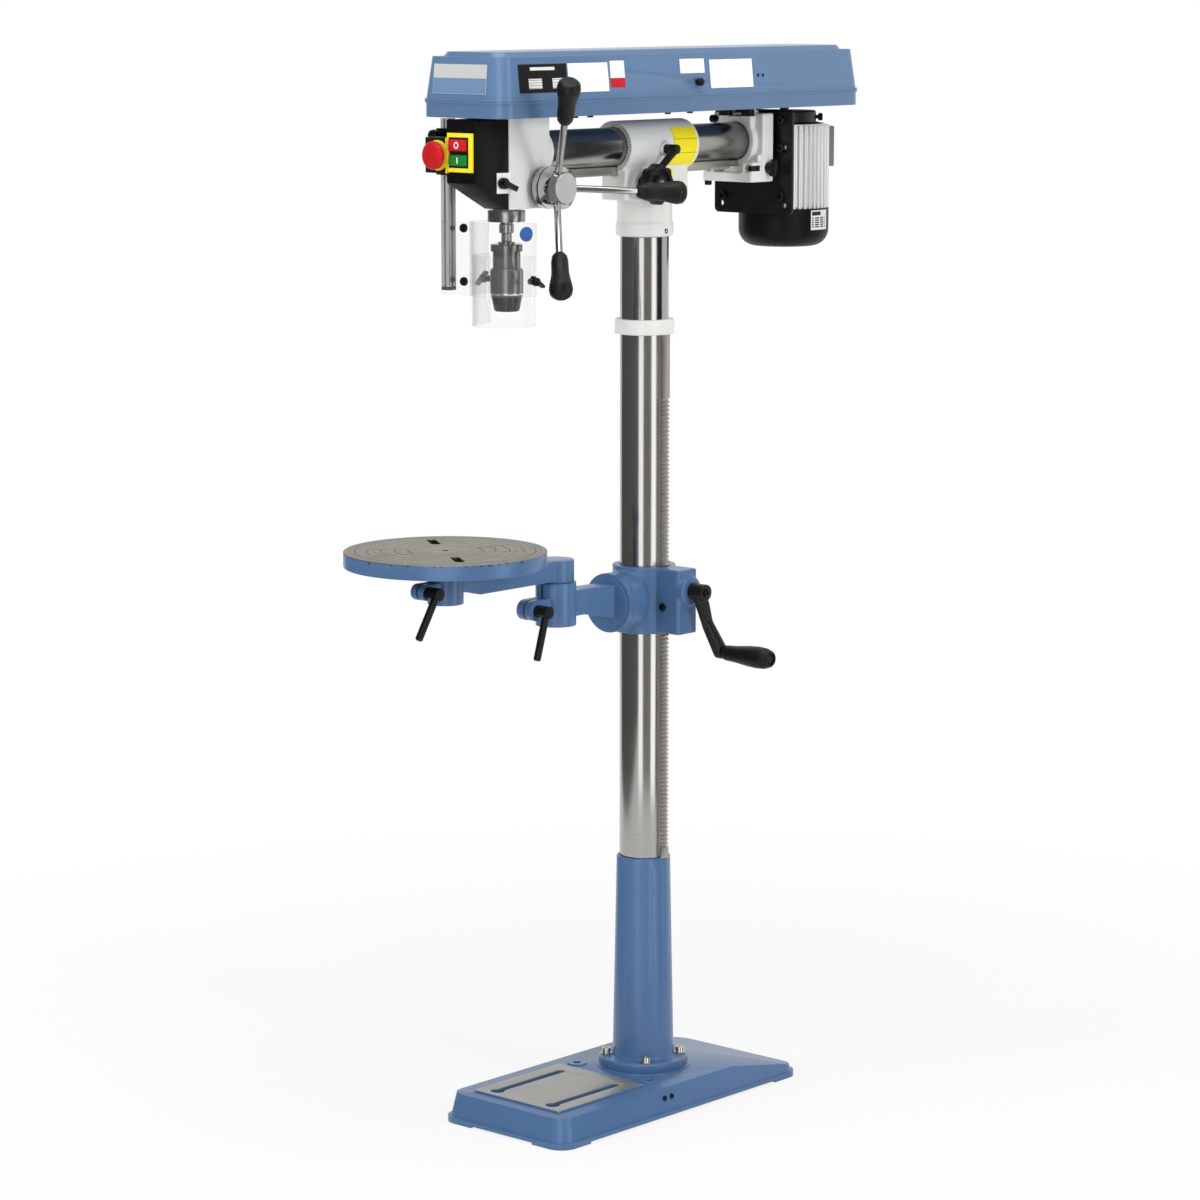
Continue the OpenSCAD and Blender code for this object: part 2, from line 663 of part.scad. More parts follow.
module upper_arm() color(cast_blue) difference() {
    union() {
        translate([0, -arm_pivot, 0]) {
            cyl_z(upper_block_r, upper_z0, upper_z1);
            cyl_z(spigot_r, arm_boss_z0 + 8, upper_z0 + 1);
        }
        along_x(-17, 17) polygon([[-arm_pivot, upper_z0 + 3], [-arm_pivot, upper_z1], [-table_y, upper_z1],
            [-table_y, upper_z0 + 11], [-table_y + 27, upper_z0 + 10], [-table_y + 55, upper_z0 + 3]]);
        split_boss(table_y, table_boss_r, table_boss_z0, table_boss_z1, upper_ear_y, upper_ear_z,
            upper_ear_r, upper_ear_hw);
    }
    split_cuts(table_y, table_boss_r, table_boss_z0, table_boss_z1, upper_ear_y, upper_ear_z, upper_ear_r);
}
module table_clamp_lever() color(black) translate([upper_ear_hw + gap, -upper_ear_y, upper_ear_z])
    rotate([-32, 0, 0]) clamp_lever(-2 * upper_ear_hw, lever_hub_l, lever_arm_l);
module round_table() color(cast_blue) translate([0, -table_y, 0]) difference() {
    union() {
        rotate_extrude() polygon(concat([[0, table_hub_z], [34, table_hub_z], [36, table_top - table_t],
            [table_d / 2 - 10, table_top - table_t], [table_d / 2 - 8, table_top - table_rim],
            [table_d / 2 - 1, table_top - table_rim], [table_d / 2, table_top - table_rim + 1],
            [table_d / 2, table_top - 0.8], [table_d / 2 - 0.8, table_top]],
            [for (i = [0:6], p = [[0.6, 0], [0, -0.6], [-0.6, 0]])
                [table_d / 2 - 9 - i * 16 + p[0], table_top + p[1]]], [[0, table_top]]));
        cyl_z(spigot_r, table_boss_z0 + 6, table_hub_z + 1);
    }
    for (a = [0, 180]) rotate(table_slot_turn + a) table_slot();
    cyl_z(4, table_top - 5, table_top + 1);
}
module table_slot() {
    h = table_slot_l / 2 - table_slot_w / 2;
    for (s = [-1, 1]) translate([table_slot_r + s * h, 0, table_top - table_rim - 1])
        cylinder(d = table_slot_w, h = table_rim + 2);
    block(table_slot_r - h, table_slot_r + h, -table_slot_w / 2, table_slot_w / 2,
        table_top - table_rim - 1, table_top + 1);
}

// Column head
module ram_sleeve() color(cast_grey) difference() {
    union() {
        translate([0, 0, ram_z]) cyl_y(sleeve_r, -sleeve_front, sleeve_rear);
        rounded_block(-block_hw, block_hw, -block_y, block_y + 2, block_z0, ram_z - 4, 3);
        cyl_z(socket_r, socket_z0, block_z0 + 1);
        translate([0, 0, socket_z0]) rotate_extrude() polygon([[0, 0], [socket_ring_r - 1.5, 0],
            [socket_ring_r, 1.5], [socket_ring_r, socket_ring_h - 1.5], [socket_ring_r - 1.5, socket_ring_h],
            [0, socket_ring_h]]);
        translate([0, 0, lock_z]) cyl_x(11, 24, sleeve_r + 5);
        translate([0, -pinion_y, pinion_z]) cyl_x(17, block_hw - 4, block_hw + 6);
    }
    translate([0, 0, ram_z]) cyl_y(ram_r + fit, -sleeve_front - 1, sleeve_rear + 1);
    block(-ram_rack_hw - gap, ram_rack_hw + gap, -sleeve_front - 1, sleeve_rear + 1,
        ram_rack_tip - gap, ram_z - ram_r + 6);
    translate([0, -pinion_y, pinion_z]) {
        cyl_x(pinion_r + pinion_m + 0.5, -8 - gap, 8 + gap);
        cyl_x(pinion_shaft_r + fit, -20, block_hw + 8);
    }
    cyl_z(column_r + fit, socket_z0 - 1, column_top + 2);
    translate([0, 0, lock_z]) cyl_x(6 + fit, ram_r - 4, sleeve_r + 6);
    translate([0, 0, grub_z]) cyl_x(grub_r, column_r + 3, socket_ring_r + 1);
}
module ram_pinion_shaft() color(steel) translate([0, -pinion_y, pinion_z]) {
    translate([-8, 0, 0]) rotate([90, 0, 90]) linear_extrude(16) rotate(90 + 180 / pinion_teeth)
        polygon(gear_points(pinion_m, pinion_teeth, 0.38));
    cyl_x(pinion_shaft_r, -19, wheel_x0 + wheel_t + 1);
}
module ram_handwheel() color(black) translate([0, -pinion_y, pinion_z]) difference() {
    union() {
        translate([wheel_x0, 0, 0]) rotate([90, 0, 90]) linear_extrude(wheel_t) union() {
            circle(r = handwheel_d / 2 - 3);
            for (a = [0:45:315]) rotate(a) translate([handwheel_d / 2 - 8, 0]) circle(r = 8);
        }
        cyl_x(12, block_hw + 8, wheel_x0 + 1);
    }
    cyl_x(pinion_shaft_r, block_hw, wheel_x0 + wheel_t + 2);
    difference() {
        cyl_x(handwheel_d / 2 - 8, wheel_x0 + wheel_t - 6, wheel_x0 + wheel_t + 1);
        cyl_x(12, wheel_x0, wheel_x0 + wheel_t + 2);
    }
}
module ram_lock_lever() color(black) translate([0, 0, lock_z]) {
    cyl_x(6, ram_r + 1, sleeve_r + 8);
    cyl_x(7, sleeve_r + 5 + gap, sleeve_r + 26);
    translate([sleeve_r + 22, 0, 0]) rotate([-lock_turn, 0, 0]) rotate([0, 180 + lock_lean, 0]) {
        cylinder(r1 = 6, r2 = 5, h = lock_arm_l);
        translate([0, 0, lock_arm_l]) cylinder(r1 = 5, r2 = 3.5, h = 2);
    }
}
ram_rack_y0 = -(head_rear - 15) + gap;
ram_rack_y1 = bracket_y0 - gap;
ram_rack_teeth = floor((ram_rack_y1 - ram_rack_y0 - 24) / pinion_pitch);
ram_rack_phase = -pinion_y - pinion_pitch * floor((-pinion_y - ram_rack_y0 - 8) / pinion_pitch);
module ram_rack() color(steel) along_x(-ram_rack_hw, ram_rack_hw) union() {
    translate([ram_rack_y0, ram_rack_tip + 2.1 * pinion_m])
        square([ram_rack_y1 - ram_rack_y0, ram_rack_top - ram_rack_tip - 2.1 * pinion_m]);
    translate([0, ram_rack_tip]) rotate(-90) polygon(concat([[-3 * pinion_m, ram_rack_phase]],
        rack_points(pinion_m, ram_rack_teeth, ram_rack_phase, 0.45),
        [[-3 * pinion_m, ram_rack_phase + (ram_rack_teeth - 1) * pinion_pitch]]));
}
module ram_tube() color(steel) translate([0, 0, ram_z]) difference() {
    cyl_y(ram_r, -head_rear - 11, flange_y1 + 2);
    cyl_y(ram_r - ram_wall, -head_rear - 12, flange_y1 + 3);
}

// Drill head
module head_casting() color(cast_grey) difference() {
    union() {
        rounded_block(-head_hw, head_hw, -head_front, -head_rear, head_z0, head_z1, 6);
        translate([0, 0, ram_z]) cyl_y(ram_r + 6.4, -head_rear - 1, -head_rear + 15);
        translate([0, -feed_y, feed_z]) cyl_x(22, head_hw - 1, feed_face - gap);
    }
    translate([0, -spindle_y, 0]) {
        cyl_z(quill_r + fit, head_z0 - 1, quill_z1 + 2);
        cyl_z(hub_outer_r + fit, quill_z1, head_z1 + 1);
    }
    translate([0, 0, ram_z]) cyl_y(ram_r, -head_rear - 11, -head_rear + 16);
    translate([0, -feed_y, feed_z]) {
        cyl_x(feed_r + feed_m + 0.5, -quill_slot_hw - 2, quill_slot_hw + 2);
        cyl_x(feed_shaft_r + fit, -head_hw - 1, feed_face + 1);
    }
    belly_cut(0);
}
module housing_plan(t) polygon([[-head_hw + t, -head_front + (t > 0 ? 1 : 0)], [-housing_tip_hw + t, -housing_front + t],
    [housing_tip_hw - t, -housing_front + t], [head_hw - t, -head_front + (t > 0 ? 1 : 0)]]);
module housing_side(t) polygon(concat([for (i = [0:8]) let (s = i / 8)
    [-head_front + (t > 0 ? 1 : 0) - (housing_front - head_front - t + (t > 0 ? 1 : 0)) * s,
        head_z0 + t + (chin_z - head_z0) * (s - chin_bulge * sin(180 * s))]],
    [[-housing_front + t, housing_top - t], [-head_front + (t > 0 ? 1 : 0), housing_top - t]]));
// The slanting face under the head's left front corner, raised by t
module belly_cut(t) translate([belly_x, -head_front, head_z0 + t / cos(belly_slope)])
    rotate([0, 0, 225]) rotate([0, -belly_slope, 0]) translate([-head_w, -head_w, -head_w])
        cube([2 * head_w, 2 * head_w, head_w]);
module housing_body(t) difference() {
    intersection() {
        translate([0, 0, head_z0 - 1]) linear_extrude(housing_top - head_z0 + 2) housing_plan(t);
        along_x(-head_hw - 1, head_hw + 1) housing_side(t);
    }
    belly_cut(t);
}
module front_housing() color(black) difference() {
    housing_body(0);
    housing_body(housing_t);
    block(-switch_body_hw - rest, switch_body_hw + rest, -housing_front - 1, -housing_front + housing_t + 1,
        switch_z0 + 3 - rest, switch_z1 - 3 + rest);
    translate([selector_x, -selector_y, selector_z]) rotate([0, 0, knob_turn]) cyl_x(4 + fit, -5, 5);
}
module switch_box() color([0.96, 0.89, 0.12]) difference() {
    union() {
        block(-switch_hw, switch_hw, -housing_front - plate_t, -housing_front, switch_z0, switch_z1);
        block(-switch_body_hw, switch_body_hw, -housing_front - 1, -housing_front + switch_deep,
            switch_z0 + 3, switch_z1 - 3);
        block(estop_box_x, -housing_tip_hw - 6.5, -housing_front - 1, -housing_front + 22,
            estop_z - 25, estop_z + 25);
        block(estop_box_x, -switch_hw + 1, -housing_front - plate_t - 3, -housing_front,
            estop_z - 25, estop_z + 25);
    }
    block(button_x0 - gap, button_x1 + gap, -housing_front - plate_t - 1, -housing_front + button_deep,
        stop_z0 - gap, stop_z1 + gap);
    block(button_x0 - gap, button_x1 + gap, -housing_front - plate_t - 1, -housing_front + button_deep,
        start_z0 - gap, start_z1 + gap);
    translate([estop_x, 0, estop_z]) cyl_y(8 + gap, -housing_front - plate_t - 4, -housing_front + 14);
}
module button(z0, z1, proud) block(button_x0, button_x1, -housing_front - plate_t - proud,
    -housing_front + button_deep - 4, z0, z1);
module start_button() color([0.1, 0.5, 0.2]) button(start_z0, start_z1, button_proud - 2);
module stop_button() color([0.76, 0.08, 0.1]) button(stop_z0, stop_z1, button_proud);
module estop_button() color([0.76, 0.08, 0.1]) translate([estop_x, -housing_front - plate_t - 3, estop_z])
    rotate([90, 0, 0]) rotate_extrude() polygon([[0, -14], [8, -14], [8, 5], [estop_r - 3, 5],
        [estop_r, 7], [estop_r, 11], [estop_r - 4, 15], [estop_r - 12, 17.5], [0, 18]]);
module selector_knob() color(black) translate([selector_x, -selector_y, selector_z])
    rotate([0, 0, knob_turn]) {
        cyl_x(4, -housing_t - 2, 2);
        cyl_x(8, gap, 7);
        rotate([-25, 0, 0]) rounded_block(5, 14, -5, 20, -3.5, 3.5, 2);
    }
quill_rack_n = floor((quill_z1 - quill_collar_z1 - 6) / feed_pitch);
quill_phase = feed_z - feed_pitch * floor((feed_z - quill_collar_z1 - 4) / feed_pitch) + feed_pitch / 2;
module quill() color(steel) translate([0, -spindle_y, 0]) difference() {
    union() {
        cyl_z(quill_r, quill_z0 + 1, quill_z1);
        cyl_z(quill_collar_r, quill_z0, quill_collar_z1);
    }
    cyl_z(journal_r + fit, quill_z0 - 1, quill_z1 + 1);
    along_x(-quill_slot_hw, quill_slot_hw) difference() {
        translate([quill_root, quill_collar_z1 + 1]) square([quill_r, quill_z1 - quill_collar_z1]);
        translate([quill_tip, 0]) polygon(concat([[-3 * feed_m, quill_phase]],
            rack_points(feed_m, quill_rack_n, quill_phase, 0.45),
            [[-3 * feed_m, quill_phase + (quill_rack_n - 1) * feed_pitch]]));
    }
}
module spindle() color(steel) translate([0, -spindle_y, 0]) {
    rotate_extrude() polygon([[0, spindle_foot + 8], [neck_r - 1, spindle_foot + 8], [neck_r, chuck_z1 - 1],
        [neck_r, chuck_z1 + chuck_boss_h + gap], [7.6, chuck_z1 + chuck_boss_h + 1], [7.6, quill_z0 - 17],
        [10.6, quill_z0 - 16], [10.6, quill_z0 - 4], [9, quill_z0 - 3], [9, quill_z0 - gap], [journal_r, quill_z0 - gap], [journal_r, quill_z1 - 1], [spline_r, quill_z1 + 1],
        [spline_r, spindle_top - 1], [spline_r - 1, spindle_top], [0, spindle_top]]);
    for (a = [0:90:270]) rotate(a) block(spline_r - 2, spline_tip_r, -spline_w / 2, spline_w / 2,
        quill_z1 + 1, spindle_top - 2);
}
module chuck_body() color([0.25, 0.25, 0.23]) translate([0, -spindle_y, 0]) difference() {
    rotate_extrude() polygon([[0, chuck_z0 + 1], [nose_r - 3.5, chuck_z0 + 1], [core_r, chuck_z0 + 14],
        [core_r, chuck_body_z], [chuck_r - 4, chuck_body_z + gap], [chuck_r - 4, chuck_z1 - chuck_ring_h],
        [chuck_r - 1, chuck_z1 - chuck_ring_h], [chuck_r - 1, chuck_z1 - 1], [chuck_r - 2, chuck_z1], [12.4, chuck_z1],
        [12, chuck_z1 + chuck_boss_h], [0, chuck_z1 + chuck_boss_h]]);
    rotate_extrude() polygon([[0, spindle_foot + 8], [neck_r - 1, spindle_foot + 8], [neck_r, chuck_z1 - 1],
        [neck_r, chuck_z1 + chuck_boss_h + 1], [0, chuck_z1 + chuck_boss_h + 1]]);
    cyl_z(chuck_bore / 2, chuck_z0, chuck_z0 + 46);
    for (a = [0:120:240]) rotate(a) block(0, chuck_bore / 2 + jaw_t, -jaw_w / 2, jaw_w / 2,
        chuck_z0, chuck_z0 + 4 + jaw_l);
}
module chuck_jaws() color(steel) translate([0, -spindle_y, 0]) for (a = [0:120:240]) rotate(a)
    intersection() {
        block(chuck_bore / 2 + 0.5, chuck_bore / 2 + jaw_t, -jaw_w / 2, jaw_w / 2, chuck_z0 + 3, chuck_z0 + 4 + jaw_l);
        rotate_extrude() polygon([[0, chuck_z0 + 1], [nose_r - 3.8, chuck_z0 + 1], [core_r, chuck_z0 + 14],
            [core_r, chuck_body_z], [0, chuck_body_z]]);
    }
module chuck_sleeve() color([0.35, 0.35, 0.33]) translate([0, -spindle_y, 0]) rotate_extrude()
    polygon([[nose_r - 3.5 + gap, chuck_z0], [nose_r, chuck_z0], [nose_r + 1.5, chuck_z0 + 1.5],
        [chuck_r - 1, chuck_z0 + 24], [chuck_r, chuck_z0 + 25], [chuck_r, chuck_z0 + 58], [chuck_r - 2, chuck_body_z - gap],
        [core_r + fit, chuck_body_z - gap], [core_r + fit, chuck_z0 + 14 - gap], [nose_r - 3.5 + gap, chuck_z0 + 1 - gap]]);
module feed_frame() translate([0, -feed_y, feed_z]) children();
module spoke_frame(i) feed_frame() rotate([-90 - spoke_turn + 120 * i, 0, 0])
    translate([spoke_x, 0, 0]) rotate([0, spoke_cone, 0]) children();
module feed_hub() color(steel) difference() {
    feed_frame() union() {
        translate([-feed_gear_hw, 0, 0]) rotate([90, 0, 90]) linear_extrude(2 * feed_gear_hw) rotate(180)
            polygon(gear_points(feed_m, feed_teeth, 0.38));
        cyl_x(feed_shaft_r, -head_hw - 14, feed_face + 2);
        turned_x() polygon([[0, feed_face], [hub_journal_r + 3, feed_face], [hub_journal_r + 3, depth_ring_x0 - gap],
            [hub_journal_r, depth_ring_x0 - gap], [hub_journal_r, depth_ring_x1 + gap], [hub_r, depth_ring_x1 + gap],
            [hub_r, hub_x1 - 1], [cap_r + 1, cap_x - 3], [cap_r + 1, cap_x - 2], [cap_r, cap_x - 2],
            [cap_r, cap_x - 1], [cap_r - 1, cap_x], [0, cap_x]]);
    }
    for (i = [0:2]) spoke_frame(i) translate([0, 0, spoke_foot]) cylinder(r = spoke_d / 2, h = 60);
}
module depth_ring() color(steel) feed_frame() difference() {
    cyl_x(hub_r, depth_ring_x0, depth_ring_x1);
    cyl_x(hub_journal_r + fit, depth_ring_x0 - 1, depth_ring_x1 + 1);
}
module feed_spokes() color(steel) for (i = [0:2]) spoke_frame(i) translate([0, 0, spoke_foot])
    cylinder(r = spoke_d / 2, h = spoke_len - spoke_foot - 6);
module feed_grips() color(black) for (i = [0:2]) spoke_frame(i) translate([0, 0, spoke_len - grip_l])
    difference() {
        rotate_extrude() polygon([[0, 0], [8, 0], [11, 5], [12.2, 13], [12.4, 24], [12.6, 34], [14.2, 45],
            [16.2, 55], [17, 62], [15.8, 68.5], [11.5, 73], [0, grip_l]]);
        translate([0, 0, -1]) cylinder(r = spoke_d / 2, h = grip_l - 5);
    }
module spring_cover() color(black) feed_frame() difference() {
    cyl_x(28, -head_hw - 20, -head_hw);
    cyl_x(25, -head_hw - 17, -head_hw - 2);
    cyl_x(feed_shaft_r + fit, -head_hw - 15, -head_hw + 1);
}

// Chuck guard
module guard_holder() color(black) difference() {
    block(-post_x - 11, -head_hw, -post_y - 13, -post_y + 13, holder_z0, holder_z1);
    translate([-post_x, -post_y, 0]) cyl_z(post_bore_r, holder_z0 - 1, holder_z1 + 1);
    translate([-post_x, 0, holder_z1 - 10]) cyl_y(4 + fit, -post_y - 14, -post_y);
    block(-head_hw - 18, -head_hw + 1, -post_y - 14, -post_y + 3, holder_z0 + 8, holder_z1 - 8);
}
module guard_knob() color(black) translate([-post_x, -post_y, holder_z1 - 10]) {
    cyl_y(4, -26, -post_bore_r - 0.2);
    rotate([90, 0, 0]) rotate_extrude() polygon([[0, 13 + gap], [5, 13 + gap], [5, 22], [8, 24], [9, 28],
        [8.4, 33], [5, 35.5], [0, 36]]);
}
module guard_post() color([0.7, 0.7, 0.69]) translate([-post_x, -post_y, 0]) {
    translate([0, 0, post_z0]) linear_extrude(post_z1 - post_z0) difference() {
        square(post_w, center = true);
        for (a = [0:90:270]) rotate(a) {
            translate([post_w / 2 - 1.5, -1.6]) square([3, 3.2]);
            translate([post_w / 2 - 4.5, -2.6]) square([3, 5.2]);
        }
    }
    block(-post_w / 2, post_w / 2, -post_w / 2, post_w / 2, post_z0 - 5 - rest, post_z0 - rest);
}
module guard_wall_2d(r) difference() {
    union() {
        circle(r = r);
        translate([-r, 0]) square([2 * r, guard_back]);
    }
    circle(r = r - guard_wall);
    translate([-r + guard_wall, 0]) square([2 * (r - guard_wall), r + 1]);
    translate([-r - 1, guard_back]) square([2 * r + 2, r]);
}
module guard_shield() color(clear) difference() {
    union() {
        translate([0, -guard_y, shield_z0]) linear_extrude(shield_z1 - shield_z0) guard_wall_2d(guard_r);
        tab_y = -post_y - post_w / 2 - rest;
        block(-post_x - post_w / 2 + 3, -sqrt(pow(guard_r - 1, 2) - pow(guard_y + tab_y, 2)),
            tab_y - guard_wall, tab_y, shield_z0, shield_z1);
    }
    for (x = [-1, 1]) translate([0, -wing_y, wing_z]) cyl_x(wing_bolt_r, x * guard_r - 5, x * guard_r + 5);
}
module guard_slider() color(clear) difference() {
    translate([0, -guard_y, slider_z0]) linear_extrude(slider_z1 - slider_z0) guard_wall_2d(slider_r);
    w = wing_bolt_r + gap;
    for (x = [-1, 1]) block(x * slider_r - 6, x * slider_r + 6, -wing_y - w, -wing_y + w,
        wing_z - slot_up - w, wing_z + slot_down + w);
}
module guard_wing_nuts() color(black) for (s = [0, 1]) mirror([s, 0, 0])
    translate([0, -wing_y, wing_z]) {
        cyl_x(wing_bolt_r, slider_r - guard_wall - 2, guard_r + 9);
        cyl_x(4.5, slider_r - guard_wall - 4, slider_r - guard_wall - gap);
        cyl_x(6, guard_r + rest, guard_r + 7);
        rotate([s > 0 ? 40 : -35, 0, 0]) block(guard_r + 3, guard_r + 11, -13, 13, -2, 2);
    }

// Belt cover
module cover_2d(inset) rounded_2d(-cover_hw + inset, cover_hw - inset, cover_y0 + inset, cover_y1 - inset,
    cover_r - inset);
module tray_holes(grow) {
    translate([0, -spindle_y]) circle(r = hub_outer_r + 6 + grow);
    translate([0, motor_y]) circle(r = hub_outer_r + 6 + grow);
    translate([-hub_outer_r - 6 - grow, motor_y - 10]) square([2 * (hub_outer_r + 6 + grow), 10]);
    translate([0, motor_y - 10]) circle(r = hub_outer_r + 6 + grow);
}
module cover_tray() color(cover_blue) difference() {
    union() {
        translate([0, 0, tray_z0]) linear_extrude(seam_z - tray_z0) cover_2d(0);
        translate([0, 0, seam_z - 3]) linear_extrude(3) cover_2d(-rim);
    }
    translate([0, 0, tray_z0 + cover_wall]) linear_extrude(seam_z) cover_2d(cover_wall);
    translate([0, 0, tray_z0 - 1]) linear_extrude(9) tray_holes(0);
}
module lid_layer(z, side, end) translate([0, 0, z]) linear_extrude(eps)
    rounded_2d(-cover_hw + side, cover_hw - side, cover_y0 + end, cover_y1 - end, cover_r - 3, $fn = 32);
module lid_form(t) {
    hull() {
        lid_layer(lid_z0 + (t > 0 ? -1 : 0), 1 + t, 1 + t);
        lid_layer(lid_shoulder - eps - t, lid_side + t, lid_end + t);
    }
    hull() {
        lid_layer(lid_shoulder - 2 * eps - t, lid_side + lid_step + t, lid_end + lid_step + t);
        lid_layer(lid_top - eps - t, lid_side + lid_step + 4 + t, lid_end + lid_step + 4 + t);
    }
}
module cover_lid() color(cover_blue) difference() {
    union() {
        lid_form(0);
        translate([0, 0, lid_z0]) linear_extrude(3) cover_2d(-rim);
    }
    lid_form(cover_wall);
    translate([0, 0, lid_z0 - 1]) linear_extrude(4 + rest) cover_2d(cover_wall + 1);
    translate([0, -lid_knob_y, lid_knob_z]) cyl_x(2.5, cover_hw - 12, cover_hw);
}
module lid_knob() color(black) translate([0, -lid_knob_y, lid_knob_z]) {
    cyl_x(2.5, lid_knob_x - 6, lid_knob_x + 1);
    turned_x() polygon([[0, lid_knob_x], [4, lid_knob_x], [4, lid_knob_x + 3], [6, lid_knob_x + 4],
        [6, lid_knob_x + 9], [4.5, lid_knob_x + 10.5], [0, lid_knob_x + 11]]);
}
// Stepped pulley: radii from the bottom step up; the hub reaches down to z0
module pulley(radii, bore, hub_z0) difference() {
    union() {
        for (i = [0:4]) let (z = pulley_z0 + step_h * i, r = radii[i]) rotate_extrude()
            polygon([[0, z], [r + 3, z], [r + 3, z + 1.5], [r - groove_d, z + 4], [r - groove_d, z + step_h - 4],
                [r + 3, z + step_h - 1.5], [r + 3, z + step_h], [0, z + step_h]]);
        cyl_z(hub_outer_r, hub_z0, pulley_z0 + 1);
    }
    cyl_z(bore, hub_z0 - 1, pulley_z0 + 5 * step_h + 1);
}
module spindle_pulley() color([0.75, 0.75, 0.74]) translate([0, -spindle_y, 0]) difference() {
    pulley(pulley_r, spline_r + fit, pulley_hub_z0);
    for (a = [0:90:270]) rotate(a) block(0, spline_tip_r + fit, -spline_w / 2 - fit, spline_w / 2 + fit,
        pulley_hub_z0 - 1, pulley_z0 + 5 * step_h + 1);
}
module motor_pulley() color([0.75, 0.75, 0.74]) translate([0, motor_y, 0])
    pulley([for (i = [4:-1:0]) pulley_r[i]], motor_shaft_r, pulley_z0 - 6);
module belt_2d(r) {
    translate([0, -spindle_y]) circle(r = r);
    translate([0, motor_y]) circle(r = r);
    translate([-r, -spindle_y]) square([2 * r, spindle_y + motor_y]);
}
module drive_belt() color(black) translate([0, 0, belt_z - belt_h / 2]) linear_extrude(belt_h)
    difference() {
        belt_2d(belt_r + 1);
        belt_2d(belt_r - groove_d + 0.3);
    }

// Motor and its bracket
module motor_bracket() color(cast_grey) difference() {
    union() {
        translate([0, 0, ram_z]) cyl_y(ram_r + 9.4, bracket_y0, flange_y1);
        rounded_block(-bracket_hw, bracket_hw, foot_y0, flange_y1, foot_z, foot_z + foot_t, 4);
        block(-bracket_hw, bracket_hw, flange_y0, flange_y1, foot_z + 1, ram_z + 42);
        for (x = [-1, 1]) block(x * 22 - 10, x * 22 + 10, bracket_y0, flange_y0 + 10, ram_z + 20, tray_z0);
        block(-bracket_hw + 4, bracket_hw - 4, bracket_y0 + 3, flange_y0 + 1, foot_z + 1, ram_z - 20);
        for (x = [-1, 1]) translate([x * (bracket_hw - cheek_t / 2), 0, 0])
            block(-cheek_t / 2, cheek_t / 2, foot_y0 + 2, flange_y0 + 1, foot_z + 1, bar_z + 9);
    }
    hull() for (y = [foot_y0 + 9, flange_y0 - 1]) translate([0, y, bar_z])
        cyl_x(side_slot_r, bracket_hw - side_slot_deep, bracket_hw + 1, $fn = 24);
    translate([0, 0, ram_z]) cyl_y(ram_r, foot_y0 - 1, flange_y1 + 1);
    for (x = [-1, 1]) translate([x * bar_x, 0, bar_z]) cyl_y(bar_r + fit, foot_y0 - 1, flange_y1 + 1);
    translate([0, knob_y, bar_z]) cyl_x(4 + fit, bar_x, bracket_hw + 1);
}
module motor_plate() color(black) difference() {
    union() {
        along_y(plate_y0, plate_y1) rounded_2d(-motor_plate_hw, motor_plate_hw, motor_plate_z0, motor_plate_z1, 8);
        for (x = [-1, 1]) translate([x * bar_x, 0, bar_z]) cyl_y(bar_r, foot_y0 + 12, plate_y1);
    }
    for (x = [-1, 1], z = [motor_plate_z0 + 14, ram_z - 10]) translate([x * (motor_plate_hw - 14), 0, z])
        cyl_y(4, plate_y0 - 1, plate_y1 + 1);
}
module motor_housing() color([0.8, 0.8, 0.79]) difference() {
    union() {
        translate([0, motor_y, motor_z0]) linear_extrude(motor_z1 - motor_z0) polygon([for (i = [0:fins - 1],
            p = [[-0.30, 0], [-0.18, 4.5], [0.18, 4.5], [0.30, 0]]) let (a = 360 / fins * (i + p[0]))
            (motor_r - 4.5 + p[1]) * [cos(a), sin(a)]]);
        translate([0, motor_y, 0]) rotate_extrude() polygon([[0, motor_z1 - 1], [motor_r - 6, motor_z1 - 1],
            [motor_r - 6, motor_z1 + 2], [49, motor_z1 + 5], [49, shield_top - 2], [47, shield_top], [0, shield_top]]);
        block(-40, 40, plate_y1, motor_y - 40, motor_z0 + 6, motor_z1 - 6);
        block(-box_hw + 4, box_hw - 4, motor_y + 40, motor_y + motor_r + 1, ram_z - 40, ram_z + 12);
    }
    translate([0, motor_y, 0]) {
        cyl_z(stator_r, motor_z0 - 1, motor_z1 - 6);
        cyl_z(motor_shaft_r + fit, motor_z1 - 7, shield_top + 1);
    }
}
module fan_cover() color(black) translate([0, motor_y, 0]) difference() {
    rotate_extrude() polygon(concat([[0, dome_z0]], [for (a = [0:10:90])
        [motor_r - dome_r + dome_r * sin(a), dome_z0 + dome_r * (1 - cos(a))]],
        [[motor_r, motor_z0], [0, motor_z0]]));
    rotate_extrude() polygon(concat([[0, dome_z0 + dome_wall]], [for (a = [0:10:90])
        [motor_r - dome_r + (dome_r - dome_wall) * sin(a), dome_z0 + dome_r - (dome_r - dome_wall) * cos(a)]],
        [[motor_r - dome_wall, motor_z0 + 1], [0, motor_z0 + 1]]));
    for (r = [16, 26, 36], a = [0:30:330]) rotate(a) translate([r, 0, dome_z0 - 1]) cylinder(r = 2.6, h = 5, $fn = 24);
}
module motor_rotor() color(steel) translate([0, motor_y, 0]) {
    cyl_z(motor_shaft_r, dome_z0 + 12, pulley_z0 + 5 * step_h - 1);
    cyl_z(rotor_r, motor_z0 + 20, motor_z1 - 20);
    cyl_z(fan_r, fan_z0, fan_z0 + 3);
    for (a = [0:45:315]) rotate(a) block(14, fan_r - 2, -1.2, 1.2, fan_z0 + 3 - eps, fan_z0 + 18);
}
